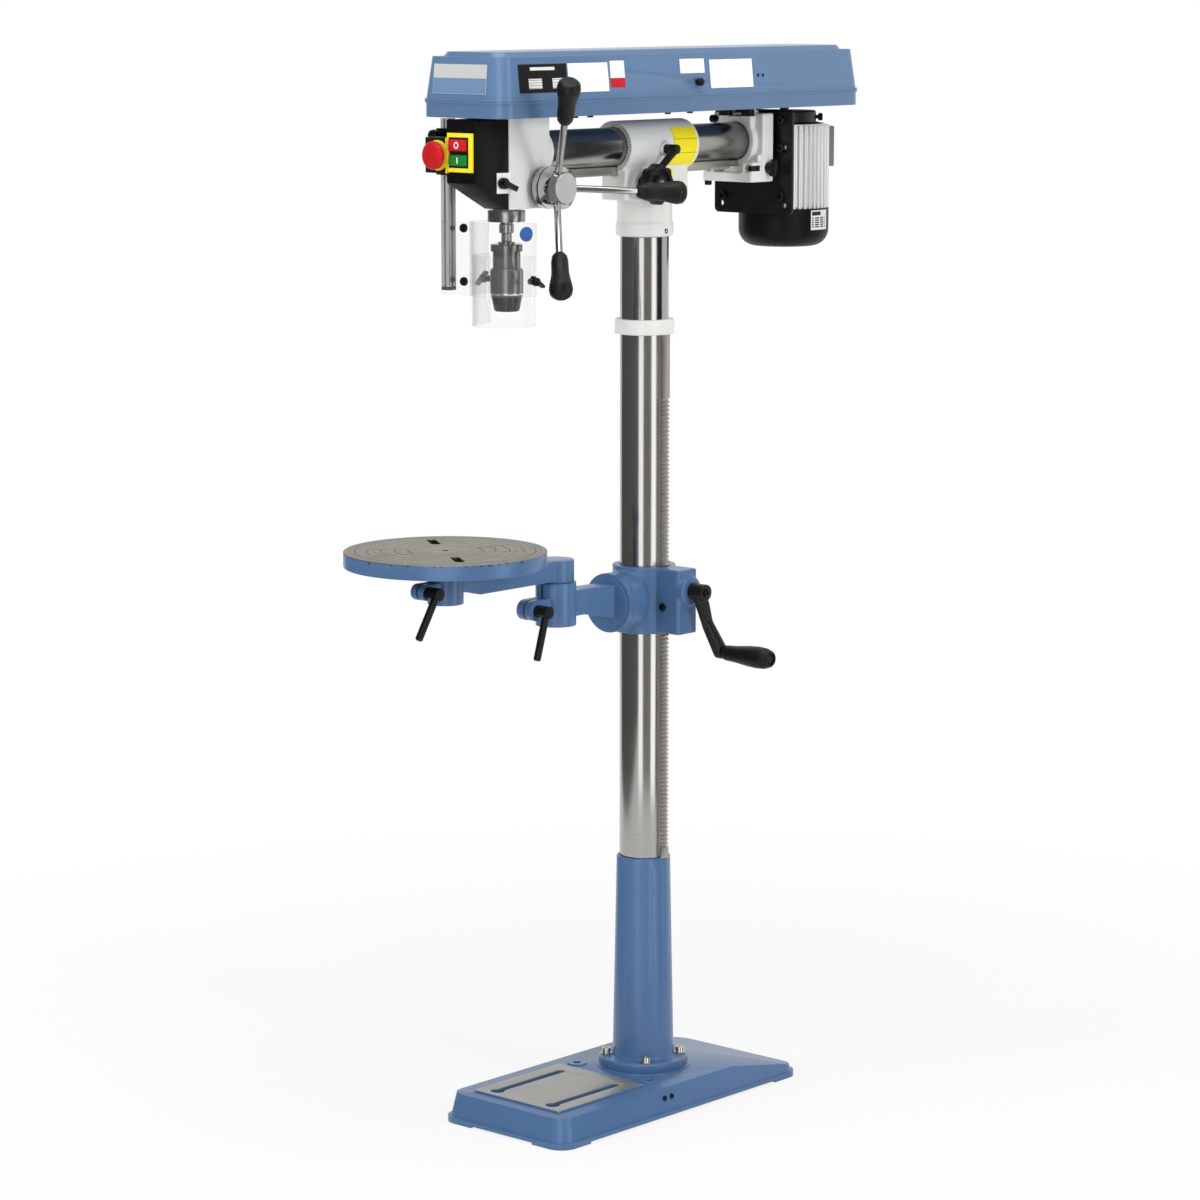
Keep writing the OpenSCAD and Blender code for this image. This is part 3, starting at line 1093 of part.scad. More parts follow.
module terminal_box() color([0.55, 0.57, 0.58]) difference() {
    union() {
        rounded_block(-box_hw, box_hw, motor_y + motor_r + 1, box_y1, ram_z - 45, ram_z + 17, 3);
        translate([0, motor_y + motor_r + 14, 0]) cyl_z(9, ram_z - 57, ram_z - 44);
    }
    translate([0, motor_y + motor_r + 14, 0]) cyl_z(5, ram_z - 58, ram_z - 50);
}
module motor_lock_knob() color(black) translate([0, knob_y, bar_z]) {
    cyl_x(4, bar_x + bar_r + gap, bracket_hw + 4);
    cyl_x(9, bracket_hw + gap, bracket_hw + 12);
    rotate([80, 0, 0]) rounded_block(bracket_hw + 5, bracket_hw + 15, -knob_wing, knob_wing, -3, 3, 3);
}

base_casting();
pedestal();
flange_bolts();
column_tube();
column_ring();
table_rack();
table_bracket();
lift_gear();
worm_shaft();
crank_arm();
crank_grip();
column_lock_lever();
lower_arm();
lower_clamp_lever();
upper_arm();
table_clamp_lever();
round_table();
ram_sleeve();
ram_pinion_shaft();
ram_handwheel();
ram_lock_lever();
ram_rack();
ram_tube();
head_casting();
front_housing();
switch_box();
start_button();
stop_button();
estop_button();
selector_knob();
quill();
spindle();
chuck_body();
chuck_sleeve();
chuck_jaws();
feed_hub();
depth_ring();
feed_spokes();
feed_grips();
spring_cover();
guard_holder();
guard_knob();
guard_post();
guard_shield();
guard_slider();
guard_wing_nuts();
cover_tray();
cover_lid();
lid_knob();
spindle_pulley();
motor_pulley();
drive_belt();
motor_bracket();
motor_plate();
motor_housing();
fan_cover();
motor_rotor();
terminal_box();
motor_lock_knob();
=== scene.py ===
import json
import math

import bpy
from mathutils import Matrix, Vector


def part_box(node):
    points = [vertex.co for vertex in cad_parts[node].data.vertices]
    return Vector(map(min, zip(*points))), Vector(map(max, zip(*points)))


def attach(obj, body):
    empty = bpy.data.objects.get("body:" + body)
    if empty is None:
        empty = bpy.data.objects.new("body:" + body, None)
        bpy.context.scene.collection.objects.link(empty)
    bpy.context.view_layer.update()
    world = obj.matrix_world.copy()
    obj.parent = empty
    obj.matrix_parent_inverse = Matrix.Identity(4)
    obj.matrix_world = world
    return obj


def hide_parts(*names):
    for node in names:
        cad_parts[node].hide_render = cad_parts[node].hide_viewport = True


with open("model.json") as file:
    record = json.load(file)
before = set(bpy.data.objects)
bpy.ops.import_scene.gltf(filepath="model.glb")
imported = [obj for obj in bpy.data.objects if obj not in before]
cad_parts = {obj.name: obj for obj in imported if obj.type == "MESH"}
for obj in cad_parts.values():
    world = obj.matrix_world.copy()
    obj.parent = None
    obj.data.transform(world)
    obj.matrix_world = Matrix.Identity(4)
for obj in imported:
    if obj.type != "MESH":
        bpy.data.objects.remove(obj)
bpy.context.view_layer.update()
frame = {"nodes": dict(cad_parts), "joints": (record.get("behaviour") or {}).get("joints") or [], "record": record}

# Base casting
# A hollow iron casting, sprayed blue over filler, with a ground plate left bare on top and two
# keyhole slots for clamping bolts. It stands on four corner feet.
MM = 0.001
home = {node: body for body, nodes in frame["record"]["behaviour"]["bodies"].items() for node in nodes}


def tone(red, green, blue):
    """A colour as a screen shows it, from 0 to 255, turned into the light values that a shader takes."""
    def channel(value):
        share = value / 255
        return share / 12.92 if share <= 0.04045 else ((share + 0.055) / 1.055) ** 2.4
    return (channel(red), channel(green), channel(blue), 1.0)


def plug(tree, slot, value):
    if isinstance(value, Reading):
        tree.links.new(value.socket, slot)
    else:
        slot.default_value = value


class Reading:
    """A socket of a material's node tree. Sums, products and comparisons of readings add Math nodes."""

    def __init__(self, tree, socket):
        self.tree, self.socket = tree, socket

    def math(self, operation, *others):
        step = self.tree.nodes.new("ShaderNodeMath")
        step.operation = operation
        for slot, value in zip(step.inputs, (self, *others)):
            plug(self.tree, slot, value)
        return Reading(self.tree, step.outputs[0])

    def __add__(self, other):
        return self.math("ADD", other)

    def __sub__(self, other):
        return self.math("SUBTRACT", other)

    def __rsub__(self, other):
        return self.math("MULTIPLY", -1.0).math("ADD", other)

    def __mul__(self, other):
        return self.math("MULTIPLY", other)

    def __truediv__(self, other):
        return self.math("DIVIDE", other)

    def __pow__(self, other):
        return self.math("POWER", other)

    def __gt__(self, other):
        return self.math("GREATER_THAN", other)

    def __lt__(self, other):
        return self.math("LESS_THAN", other)


class Finish:
    """A material built from a Principled shader. Its readings are all on Object coordinates."""

    def __init__(self, name, colour, roughness, metallic=0.0, coat=0.0, **fixed):
        self.material = bpy.data.materials.new(name)
        self.material.use_nodes = True
        self.tree = self.material.node_tree
        self.shader = self.tree.nodes["Principled BSDF"]
        self.feed(**{"Base Color": colour, "Roughness": roughness, "Metallic": metallic})
        self.feed(**{"Coat Weight": coat, "Coat Roughness": 0.12, **fixed})

    def feed(self, **values):
        for name, value in values.items():
            plug(self.tree, self.shader.inputs[name], value)
        return self

    def node(self, kind, settings=None, output=0, **values):
        step = self.tree.nodes.new("ShaderNode" + kind)
        for name, value in (settings or {}).items():
            setattr(step, name, value)
        for name, value in values.items():
            plug(self.tree, step.inputs[name], value)
        return Reading(self.tree, step.outputs[output])

    def place(self, stretch=(1, 1, 1)):
        spot = self.node("TexCoord", output=3)
        if stretch == (1, 1, 1):
            return spot
        return self.node("Mapping", Vector=spot, Scale=stretch)

    def axes(self):
        split = self.node("SeparateXYZ", Vector=self.place())
        return [Reading(self.tree, out) for out in split.socket.node.outputs]

    def noise(self, scale, detail=2.0, stretch=(1, 1, 1)):
        return self.node("TexNoise", Vector=self.place(stretch), Scale=scale, Detail=detail)

    def ease(self, value, low, high):
        """Runs from 0 at low to 1 at high, softly."""
        settings = {"interpolation_type": "SMOOTHSTEP"}
        return self.node("MapRange", settings, Value=value, **{"From Min": low, "From Max": high})

    def between(self, value, low, high):
        return (value > low) * (value < high)

    def reach(self, first, second):
        """The distance from an axis, out of two readings measured from it."""
        return (first * first + second * second) ** 0.5

    def strokes(self, angle, step, share):
        """1 on thin strokes that repeat every step round an axis."""
        return ((angle / step).math("FRACT") - 0.5).math("ABSOLUTE") > share

    def blend(self, low, high, share):
        step = self.tree.nodes.new("ShaderNodeMix")
        step.data_type = "RGBA"
        for slot, value in ((0, share), (6, low), (7, high)):
            plug(self.tree, step.inputs[slot], value)
        return Reading(self.tree, step.outputs[2])

    def dent(self, height, strength, depth=0.0002):
        normal = self.node("Bump", Height=height, Strength=strength, Distance=depth)
        return self.feed(Normal=normal)


def middle_of(node):
    """The middle of a CAD node's box, in metres."""
    return sum(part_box(node), Vector()) / 2


def darker(colour, share):
    return tuple(channel * share for channel in colour[:3]) + (1.0,)


def sprayed(paint, colour):
    """The faint clouds of a sprayed coat."""
    return paint.blend(darker(colour, 0.92), darker(colour, 1.06), paint.noise(9, 3))


def enamel(name, colour, roughness=0.34, peel=0.16, coat=0.15):
    """Sprayed enamel: a faint orange peel, and slightly deeper and thinner patches."""
    paint = Finish(name, colour, roughness, coat=coat, **{"Specular IOR Level": 0.35})
    cloud = paint.noise(9, 3)
    paint.feed(**{"Base Color": paint.blend(darker(colour, 0.90), darker(colour, 1.08), cloud)})
    paint.feed(Roughness=paint.noise(40, 2) * 0.10 + (roughness - 0.05))
    return paint.dent(paint.noise(420, 2), peel, 0.0003)


def only(piece):
    if bpy.context.object and bpy.context.object.mode != "OBJECT":
        bpy.ops.object.mode_set(mode="OBJECT")
    bpy.ops.object.select_all(action="DESELECT")
    piece.select_set(True)
    bpy.context.view_layer.objects.active = piece
    return piece


def worked(piece, kind, **settings):
    """Adds a modifier to a piece and applies it."""
    only(piece)
    modifier = piece.modifiers.new(kind.title(), kind)
    for name, value in settings.items():
        setattr(modifier, name, value)
    bpy.ops.object.modifier_apply(modifier=modifier.name)
    return piece


def smoothed(piece, degrees=35):
    only(piece)
    bpy.ops.object.shade_smooth_by_angle(angle=math.radians(degrees))
    return piece


def coated(piece, finish, body):
    piece.data.materials.clear()
    piece.data.materials.append(finish.material)
    piece.data.name = piece.name
    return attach(piece, body)


def skin_of(node):
    """A closed copy of a CAD node's mesh, to be worked on."""
    only(frame["nodes"][node])
    bpy.ops.object.duplicate()
    piece = bpy.context.object
    piece.name = node + "_skin"
    bpy.ops.object.mode_set(mode="EDIT")
    bpy.ops.mesh.select_all(action="SELECT")
    bpy.ops.mesh.remove_doubles(threshold=2e-6)
    bpy.ops.mesh.dissolve_limited(angle_limit=math.radians(0.3))
    bpy.ops.object.mode_set(mode="OBJECT")
    return piece


def dress(node, finish, edge=0.5, smooth=35):
    """Gives a CAD node its finish on a copy with broken edges, in millimetres of bevel."""
    piece = skin_of(node)
    if edge:
        worked(piece, "BEVEL", width=edge * MM, segments=2, limit_method="ANGLE",
               angle_limit=math.radians(38), use_clamp_overlap=True, miter_outer="MITER_ARC")
    smoothed(piece, smooth)
    coated(piece, finish, home[node])
    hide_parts(node)
    return piece


blue = tone(72, 104, 145)
cast_blue = enamel("blue_enamel_on_castings", blue)
GROUND_LOW, GROUND_HIGH = Vector((-86, -287, 46.2)) * MM, Vector((86, -96, 48)) * MM
base_paint = enamel("blue_enamel_with_ground_plate", blue)
along, across, up = base_paint.axes()
bare = base_paint.between(along, GROUND_LOW.x, GROUND_HIGH.x) * (up > GROUND_LOW.z)
bare = bare * base_paint.between(across, GROUND_LOW.y, GROUND_HIGH.y)
stroke = base_paint.noise(30, 6, (60, 1, 1))
scuff = base_paint.noise(14, 4)
ground = base_paint.blend(tone(126, 125, 121), tone(188, 186, 180), stroke * 0.7 + scuff * 0.3)
ground_share = base_paint.blend(sprayed(base_paint, blue), ground, bare)
base_paint.feed(**{"Base Color": ground_share, "Metallic": bare * 0.8})
base_paint.feed(**{"Roughness": bare * 0.1 + 0.34, "Coat Weight": 0.15 - bare * 0.15})
base_paint.dent(stroke * bare * 0.5 + base_paint.noise(420, 2) * 0.4, 0.12, 0.0003)
dress("base_casting", base_paint, edge=1.4)

# Base side screws
# Two black socket set screws in the base's right side, which hold the keeper of the ground plate.
SLOPE_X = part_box("base_casting")[1].x / MM - 8.6
SLOPE_AIM = (1, 0, 0.2)
KEEPER_Y = (-84, -68)


def moulded(name, colour, roughness=0.5, grain=0.25, coat=0.0):
    """Moulded plastic: a fine pebble grain and slightly uneven sheen."""
    plastic = Finish(name, colour, roughness, coat=coat, **{"Specular IOR Level": 0.25})
    cloud = plastic.noise(60, 2)
    plastic.feed(**{"Base Color": plastic.blend(darker(colour, 0.85), darker(colour, 1.2), cloud)})
    plastic.feed(Roughness=plastic.noise(150, 3) * 0.16 + (roughness - 0.08))
    return plastic.dent(plastic.noise(1500, 2), grain, 0.0002)


def lathe(name, outline, sides=48):
    """A turned piece standing at the origin: a disc drawn up through (radius, height) steps in mm."""
    radius, height = outline[0]
    bpy.ops.object.select_all(action="DESELECT")
    bpy.ops.mesh.primitive_circle_add(vertices=sides, radius=radius * MM, fill_type="NGON",
                                      location=(0, 0, height * MM))
    piece = bpy.context.object
    bpy.ops.object.transform_apply(location=True, rotation=True, scale=True)
    bpy.ops.object.mode_set(mode="EDIT")
    bpy.ops.mesh.select_all(action="SELECT")
    for next_radius, next_height in outline[1:]:
        rise = (0, 0, (next_height - height) * MM)
        bpy.ops.mesh.extrude_region_move(TRANSFORM_OT_translate={"value": rise})
        ratio = next_radius / radius
        bpy.ops.transform.resize(value=(ratio, ratio, 1), center_override=(0, 0, next_height * MM))
        radius, height = next_radius, next_height
    bpy.ops.mesh.select_all(action="SELECT")
    bpy.ops.mesh.normals_make_consistent(inside=False)
    bpy.ops.object.mode_set(mode="OBJECT")
    piece.name = name
    return piece


def settled(piece, at, aim):
    """Turns a piece from +Z to its aim, moves it to its place in mm and writes both into the mesh."""
    turn = Vector((0, 0, 1)).rotation_difference(Vector(aim)).to_matrix().to_4x4()
    piece.matrix_world = Matrix.Translation(Vector(at) * MM) @ turn @ piece.matrix_world
    only(piece)
    bpy.ops.object.transform_apply(location=True, rotation=True, scale=True)
    return piece


def joined(name, pieces):
    """Makes one piece of several loose ones."""
    only(pieces[0])
    for piece in pieces[1:]:
        piece.select_set(True)
    if len(pieces) > 1:
        bpy.ops.object.join()
    piece = bpy.context.object
    piece.name = name
    return smoothed(piece)


def copied(name, model, places, aim):
    """Puts a copy of one model, each with its own mesh, at each place and joins them into one piece."""
    copies = []
    for place in places:
        only(model)
        bpy.ops.object.duplicate()
        copies.append(settled(bpy.context.object, place, aim))
    bpy.data.objects.remove(model)
    return joined(name, copies)


def socket_screw(radius, height):
    """An upright screw head with a chamfer and a six-sided socket sunk into it."""
    head = lathe("screw_head", [(radius, 0), (radius, height * 0.8), (radius * 0.85, height)], 24)
    bpy.ops.object.select_all(action="DESELECT")
    bpy.ops.mesh.primitive_cylinder_add(vertices=6, radius=radius / 2 * MM, depth=height * 1.2 * MM,
                                        location=(0, 0, height * MM))
    cutter = bpy.context.object
    worked(head, "BOOLEAN", operation="DIFFERENCE", object=cutter, solver="EXACT")
    bpy.data.objects.remove(cutter)
    return head


black_screw = moulded("blackened_screws", tone(14, 14, 15), 0.38, 0.1)
places = [(SLOPE_X, y, 29) for y in KEEPER_Y]
side_screws = copied("base_side_screws", socket_screw(4.2, 2.4), places, SLOPE_AIM)
coated(side_screws, black_screw, "stand")

# Pedestal, flange bolts and column
# A tapered blue casting clamps the ground steel tube. Four socket screws with washers hold its
# flange. The tube was ground between centres, so its fine lines run round it.
dress("pedestal", cast_blue, edge=0.8)


def turned_steel(name, stretch, colour=(176, 174, 170), roughness=0.24, wear=0.5):
    """Turned or ground steel whose fine lines run across the stretched direction."""
    steel = Finish(name, tone(*colour), roughness, 1.0)
    lines = steel.noise(24, 8, stretch)
    haze = steel.noise(11, 4)
    pale, deep = tone(*colour), darker(tone(*colour), 0.62)
    steel.feed(**{"Base Color": steel.blend(deep, pale, lines * 0.6 + haze * wear)})
    steel.feed(Roughness=lines * 0.12 + haze * 0.12 + (roughness - 0.1))
    return steel.dent(lines, 0.08, 0.0001)


bolt_steel = turned_steel("zinc_plated_bolts", (1, 1, 40), (214, 211, 202), 0.2, 0.3)
tube_steel = turned_steel("ground_column_steel", (1, 1, 90), (190, 188, 184), 0.15, 0.3)
dress("flange_bolts", bolt_steel, edge=0.5)
dress("column_tube", tube_steel, edge=0.8)
PALE_ENAMEL = (tone(222, 223, 219), 0.42, 0.22, 0.1)
pale_cast = enamel("pale_grey_enamel", *PALE_ENAMEL)
dress("column_ring", pale_cast, edge=0.8)

# Table rack
# A flat steel bar with milled teeth, held between the pedestal and the ring so that it can go
# round the column with the table. Its steel is duller than the column's.
rack_steel = turned_steel("milled_rack_steel", (1, 1, 30), (196, 193, 184), 0.38, 0.5)
dress("table_rack", rack_steel, edge=0.15)

# Table bracket with its lift gear
# A blue casting round the column, with the gear housing on its right side. The worm and gear
# inside are steel, and a black screw closes the gear shaft's bore.
def cast(node, finish, grain=1.6, rounds=7):
    """Gives a CAD node the soft corners and fillets of a casting, on a skin of fine quads."""
    piece = skin_of(node)
    worked(piece, "REMESH", mode="VOXEL", voxel_size=grain * MM, use_smooth_shade=True)
    worked(piece, "SMOOTH", factor=0.5, iterations=rounds)
    coated(piece, finish, home[node])
    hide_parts(node)
    return piece


cast("table_bracket", cast_blue, 1.7, 6)
gear_steel = turned_steel("gear_steel", (30, 1, 1), (140, 138, 132), 0.34)
dress("lift_gear", gear_steel, edge=0.15)
dress("worm_shaft", gear_steel, edge=0)
BORE_MOUTH_Y = -21.8
gear_at = middle_of("lift_gear") / MM
places = [(gear_at.x, BORE_MOUTH_Y, gear_at.z)]
shaft_screw = copied("gear_shaft_screw", socket_screw(5.6, 2.2), places, (0, -1, 0))
coated(shaft_screw, black_screw, "bracket")

# Table crank
# A black cast arm clamped on the worm shaft by a screw, with a moulded grip turning on its bolt.
black_paint = enamel("black_enamel", tone(11, 11, 12), 0.4, 0.2, 0.0)
cast("crank_arm", black_paint, 1.0, 6)
grip_black = moulded("black_grip_plastic", tone(15, 15, 15), 0.42, 0.3)
dress("crank_grip", grip_black, edge=0.9, smooth=60)
worm_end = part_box("worm_shaft")[1].x / MM
places = [(worm_end + 1.8, 0, middle_of("worm_shaft").z / MM)]
hub_screw = copied("crank_hub_screw", socket_screw(6.2, 2.6), places, (1, 0, 0))
coated(hub_screw, black_screw, "worm")

# Clamp levers
# Black levers that pull the split bosses and the collar tight. Each is moulded round a steel stud.
lever_black = moulded("black_lever_plastic", tone(13, 13, 14), 0.42, 0.22)
for lever in ("column_lock_lever", "lower_clamp_lever", "table_clamp_lever"):
    dress(lever, lever_black, edge=0.9)

# Table arms
# Two blue castings with turned pivots: the lower one tilts on the bracket, the upper one swings
# on it and carries the table.
for arm in ("lower_arm", "upper_arm"):
    dress(arm, cast_blue, edge=1.3)

# Round table
# A blue casting with its top turned bare, scored with fine rings, and marked with arcs and four
# straight lines. The rim's paint is chipped where work has knocked it.
table_low, table_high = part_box("round_table")
table_at = middle_of("round_table")
TABLE_R = (table_high.x - table_low.x) / 2
MARK_TURN = math.radians(55)
MARK_SPREAD = math.radians(20)
MARK_LINE = 0.0009
MARK_ARCS = (0.052, 0.072, 0.092, 0.112)
RIM_RING = 0.129
table_paint = enamel("blue_enamel_with_turned_top", blue)
along, across, up = table_paint.axes()
along, across = along - table_at.x, across - table_at.y
radius = table_paint.reach(along, across)
bearing = across.math("ARCTAN2", along)
top = up > table_high.z - 0.0012
ring_wave = (radius * 4200).math("SINE") * 0.5 + 0.5
one_way = {"noise_dimensions": "1D"}
rough_rings = table_paint.node("TexNoise", one_way, W=radius * 260, Scale=1.0, Detail=4.0)
pits = table_paint.noise(90, 4)
bare_top = table_paint.blend(tone(84, 80, 72), tone(158, 152, 140), rough_rings * 0.8 + pits * 0.2)


def scored(near, far, value, width):
    """A thin line where value is zero, between two radii."""
    line = value.math("ABSOLUTE") < width
    return line * table_paint.between(radius, near, far)


marks = scored(RIM_RING - 0.003, RIM_RING + 0.003, radius - RIM_RING, MARK_LINE)
for arc in MARK_ARCS:
    for side in (0, math.pi):
        heading = math.atan2(math.sin(MARK_TURN + side), math.cos(MARK_TURN + side))
        sector = table_paint.between(bearing, heading - MARK_SPREAD, heading + MARK_SPREAD)
        marks = marks.math("MAXIMUM", scored(0.03, 0.14, radius - arc, MARK_LINE) * sector)
for side in (0, math.pi):
    for spread in (-MARK_SPREAD, MARK_SPREAD):
        heading = MARK_TURN + side + spread
        offset = across * math.cos(heading) - along * math.sin(heading)
        ahead = (along * math.cos(heading) + across * math.sin(heading)) > 0.0
        marks = marks.math("MAXIMUM", scored(0.052, 0.118, offset, 0.0012) * ahead)
marks = marks.math("MAXIMUM", radius < 0.0042)
marked_top = table_paint.blend(bare_top, tone(22, 21, 20), marks)
chip_band = table_paint.ease(up, table_high.z - 0.0075, table_high.z - 0.001)
chips = (table_paint.noise(150, 3) + chip_band * 0.13) > 0.72
painted = table_paint.blend(sprayed(table_paint, blue), tone(38, 44, 58), chips)
# The slot walls below the top are painted near black: painted shade, for the dark inside the slots.
painted_slot_wall_shade = (radius < TABLE_R - 0.014) * (up > table_high.z - 0.018)
painted = table_paint.blend(painted, tone(26, 26, 26), painted_slot_wall_shade)
tint = table_paint.blend(painted, marked_top, top)
table_paint.feed(**{"Base Color": tint, "Metallic": top * 0.75})
table_paint.feed(**{"Roughness": top * 0.1 + 0.34, "Coat Weight": 0.15 - top * 0.15})
table_paint.dent((rough_rings + ring_wave * 0.4) * top + table_paint.noise(420, 2) * 0.4, 0.15, 0.0003)
dress("round_table", table_paint, edge=0.5)

# Ram sleeve
# The light grey casting on top of the column: a socket below, a clamped bore for the ram above.
# Its front face is a degree ring with black strokes.
sleeve_low, sleeve_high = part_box("ram_sleeve")
ram_low, ram_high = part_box("ram_tube")
RAM_Z = (ram_low.z + ram_high.z) / 2
RING_NEAR, RING_FAR = 0.0325, 0.0362
RING_STEP = math.radians(7.5)


def pale_coat(paint):
    """The clouds of the light grey enamel."""
    return paint.blend(tone(212, 213, 209), tone(228, 229, 225), paint.noise(9, 3))


sleeve_paint = enamel("pale_grey_enamel_with_degree_ring", *PALE_ENAMEL)
along, across, up = sleeve_paint.axes()
up = up - RAM_Z
tick = sleeve_paint.strokes(up.math("ARCTAN2", along), RING_STEP, 0.43)
tick = tick * sleeve_paint.between(sleeve_paint.reach(along, up), RING_NEAR, RING_FAR)
tick = tick * (across < sleeve_low.y + 0.002)
sleeve_paint.feed(**{"Base Color": sleeve_paint.blend(pale_coat(sleeve_paint), tone(25, 25, 25), tick)})
cast("ram_sleeve", sleeve_paint, 1.5, 6)
SOCKET_SIDE, GRUB_Z = 41.4, 1320
grub_screw = copied("socket_grub_screw", socket_screw(3.8, 1.6), [(SOCKET_SIDE, 0, GRUB_Z)], (1, 0, 0))
coated(grub_screw, black_screw, "swivel")

# Angle plate
# A bare yellow sheet with two ruled lines, bent round the sleeve behind the lock lever. A narrow
# tail hangs below it.
def slab(name, low, high, edge=0.4, segments=2):
    """A plate or block between two corners in mm, with its edges broken."""
    low, high = Vector(low) * MM, Vector(high) * MM
    bpy.ops.object.select_all(action="DESELECT")
    bpy.ops.mesh.primitive_cube_add(size=1, location=(low + high) / 2)
    piece = bpy.context.object
    piece.scale = high - low
    bpy.ops.object.transform_apply(location=True, rotation=True, scale=True)
    bpy.ops.object.mode_set(mode="EDIT")
    bpy.ops.mesh.select_all(action="SELECT")
    bpy.ops.mesh.bevel(offset=edge * MM, segments=segments, affect="EDGES")
    bpy.ops.object.mode_set(mode="OBJECT")
    piece.name = name
    return piece


PLATE_TOP, PLATE_FOOT = 43, -51
RULED_LINES = (14, -17)
label_yellow = moulded("yellow_sheet", tone(238, 218, 40), 0.4, 0.06)
along, across, up = label_yellow.axes()
bearing = (up - RAM_Z).math("ARCTAN2", along)
lines = [label_yellow.between(bearing, math.radians(line - 0.5), math.radians(line + 0.5))
         for line in RULED_LINES]
ruled = lines[0] + lines[1]
label_yellow.feed(**{"Base Color": label_yellow.blend(tone(242, 224, 30), tone(60, 56, 20), ruled)})
PLATE_R = (sleeve_high.z - RAM_Z) / MM + 0.15
bpy.ops.object.select_all(action="DESELECT")
bpy.ops.mesh.primitive_cylinder_add(vertices=192, radius=PLATE_R * MM, depth=0.052,
                                    end_fill_type="NOTHING", location=(0, 0.049, RAM_Z),
                                    rotation=(math.pi / 2, 0, 0))
angle_plate = bpy.context.object
bpy.ops.object.transform_apply(location=True, rotation=True, scale=True)
bpy.ops.object.mode_set(mode="EDIT")
for turn, side in ((PLATE_TOP, 1), (PLATE_FOOT, -1)):
    lean = math.radians(turn)
    normal = Vector((-math.sin(lean), 0, math.cos(lean))) * side
    bpy.ops.mesh.select_all(action="SELECT")
    bpy.ops.mesh.bisect(plane_co=(0, 0, RAM_Z), plane_no=normal, clear_outer=True)
bpy.ops.object.mode_set(mode="OBJECT")
worked(angle_plate, "SOLIDIFY", thickness=0.0007, offset=1)
tail = slab("tail", (24.1, 26, 1392), (24.9, 35, 1410), 0.2)
coated(joined("angle_plate", [angle_plate, tail]), label_yellow, "swivel")

# Ram wheel and ram lock
# A lobed black hand wheel on the pinion shaft moves the ram, and a small lever locks it.
pinion_steel = turned_steel("pinion_steel", (30, 1, 1), (150, 148, 144), 0.3)
dress("ram_pinion_shaft", pinion_steel, edge=0.15)
dress("ram_handwheel", grip_black, edge=1.2, smooth=50)
dress("ram_lock_lever", lever_black, edge=0.9)

# Ram
# A ground steel tube with a milled rack under it. Its grinding lines run round it.
ram_steel = turned_steel("ground_ram_steel", (1, 90, 1), (176, 174, 169), 0.2, 0.3)
dress("ram_rack", turned_steel("ram_rack_steel", (1, 30, 1), (206, 204, 196), 0.38, 0.4), edge=0.15)
dress("ram_tube", ram_steel, edge=0.8)

# Head casting
# A light grey casting that carries the quill, the feed shaft and the cover.
cast("head_casting", pale_cast, 1.5, 8)

# Front housing with its switch
# A glossy black moulded hood. The yellow switch plate holds a red and a green button in a black
# frame, and the emergency stop sits on a block of its own beside it.
hood_black = moulded("black_hood_plastic", tone(13, 13, 13), 0.42, 0.12)
hood_black.feed(**{"Specular IOR Level": 0.14})
dress("front_housing", hood_black, edge=1.2)
switch_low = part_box("switch_box")[0]
signal_yellow = tone(240, 222, 44)
switch_paint = moulded("yellow_front_on_black", signal_yellow, 0.34, 0.1, 0.3)
along, across, up = switch_paint.axes()
start_low, start_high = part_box("start_button")
stop_low, stop_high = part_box("stop_button")
FRAME_RIM = 0.003
front = (across < switch_low.y + 0.0065) * (along > start_low.x - 0.0066)
recess = switch_paint.between(along, start_low.x - FRAME_RIM, start_high.x + FRAME_RIM)
recess = recess * switch_paint.between(up, start_low.z - FRAME_RIM, stop_high.z + FRAME_RIM)
yellow = front * (1.0 - recess)
switch_paint.feed(**{"Base Color": switch_paint.blend(tone(22, 22, 22), signal_yellow, yellow)})
dress("switch_box", switch_paint, edge=0.8)
button_green = moulded("green_button", tone(18, 122, 50), 0.5, 0.05)
button_red = moulded("red_button", tone(190, 24, 30), 0.5, 0.05)
symbol_white = moulded("white_symbols", tone(232, 232, 228), 0.4, 0.05)
dress("start_button", button_green, edge=1.2)
dress("stop_button", button_red, edge=1.2)
STROKE_HW, STROKE_HH = 1.1, 4.2
face_y, middle = start_low.y / MM, middle_of("start_button") / MM
stroke_mark = slab("start_stroke", (middle.x - STROKE_HW, face_y - 0.3, middle.z - STROKE_HH),
                   (middle.x + STROKE_HW, face_y + 0.2, middle.z + STROKE_HH), 0.12)
coated(smoothed(stroke_mark), symbol_white, "start")
middle = middle_of("stop_button")
ring_at = (middle.x, stop_low.y, middle.z)
bpy.ops.object.select_all(action="DESELECT")
bpy.ops.mesh.primitive_torus_add(major_radius=0.0036, minor_radius=0.0009, major_segments=36,
                                 minor_segments=10, location=ring_at, rotation=(math.pi / 2, 0, 0))
ring_mark = bpy.context.object
ring_mark.name = "stop_ring"
bpy.ops.object.transform_apply(location=True, rotation=True, scale=True)
bpy.ops.object.mode_set(mode="EDIT")
bpy.ops.mesh.select_all(action="SELECT")
bpy.ops.transform.resize(value=(1.0, 0.4, 1.1), center_override=ring_at)
bpy.ops.object.mode_set(mode="OBJECT")
coated(smoothed(ring_mark), symbol_white, "stop")
mushroom_red = moulded("red_mushroom", tone(184, 14, 24), 0.44, 0.06)
dress("estop_button", mushroom_red, edge=0.8, smooth=60)
middle = middle_of("estop_button") / MM
collar = lathe("estop_collar", [(21, -3.2), (21.5, -2.8), (21.5, 0.1), (20.8, 0.4), (12, 0.5), (11.6, 0.5)])
settled(collar, (middle.x, switch_low.y / MM, middle.z), (0, -1, 0))
collar_yellow = moulded("yellow_collar", signal_yellow, 0.34, 0.08, 0.3)
coated(smoothed(collar), collar_yellow, "ram")

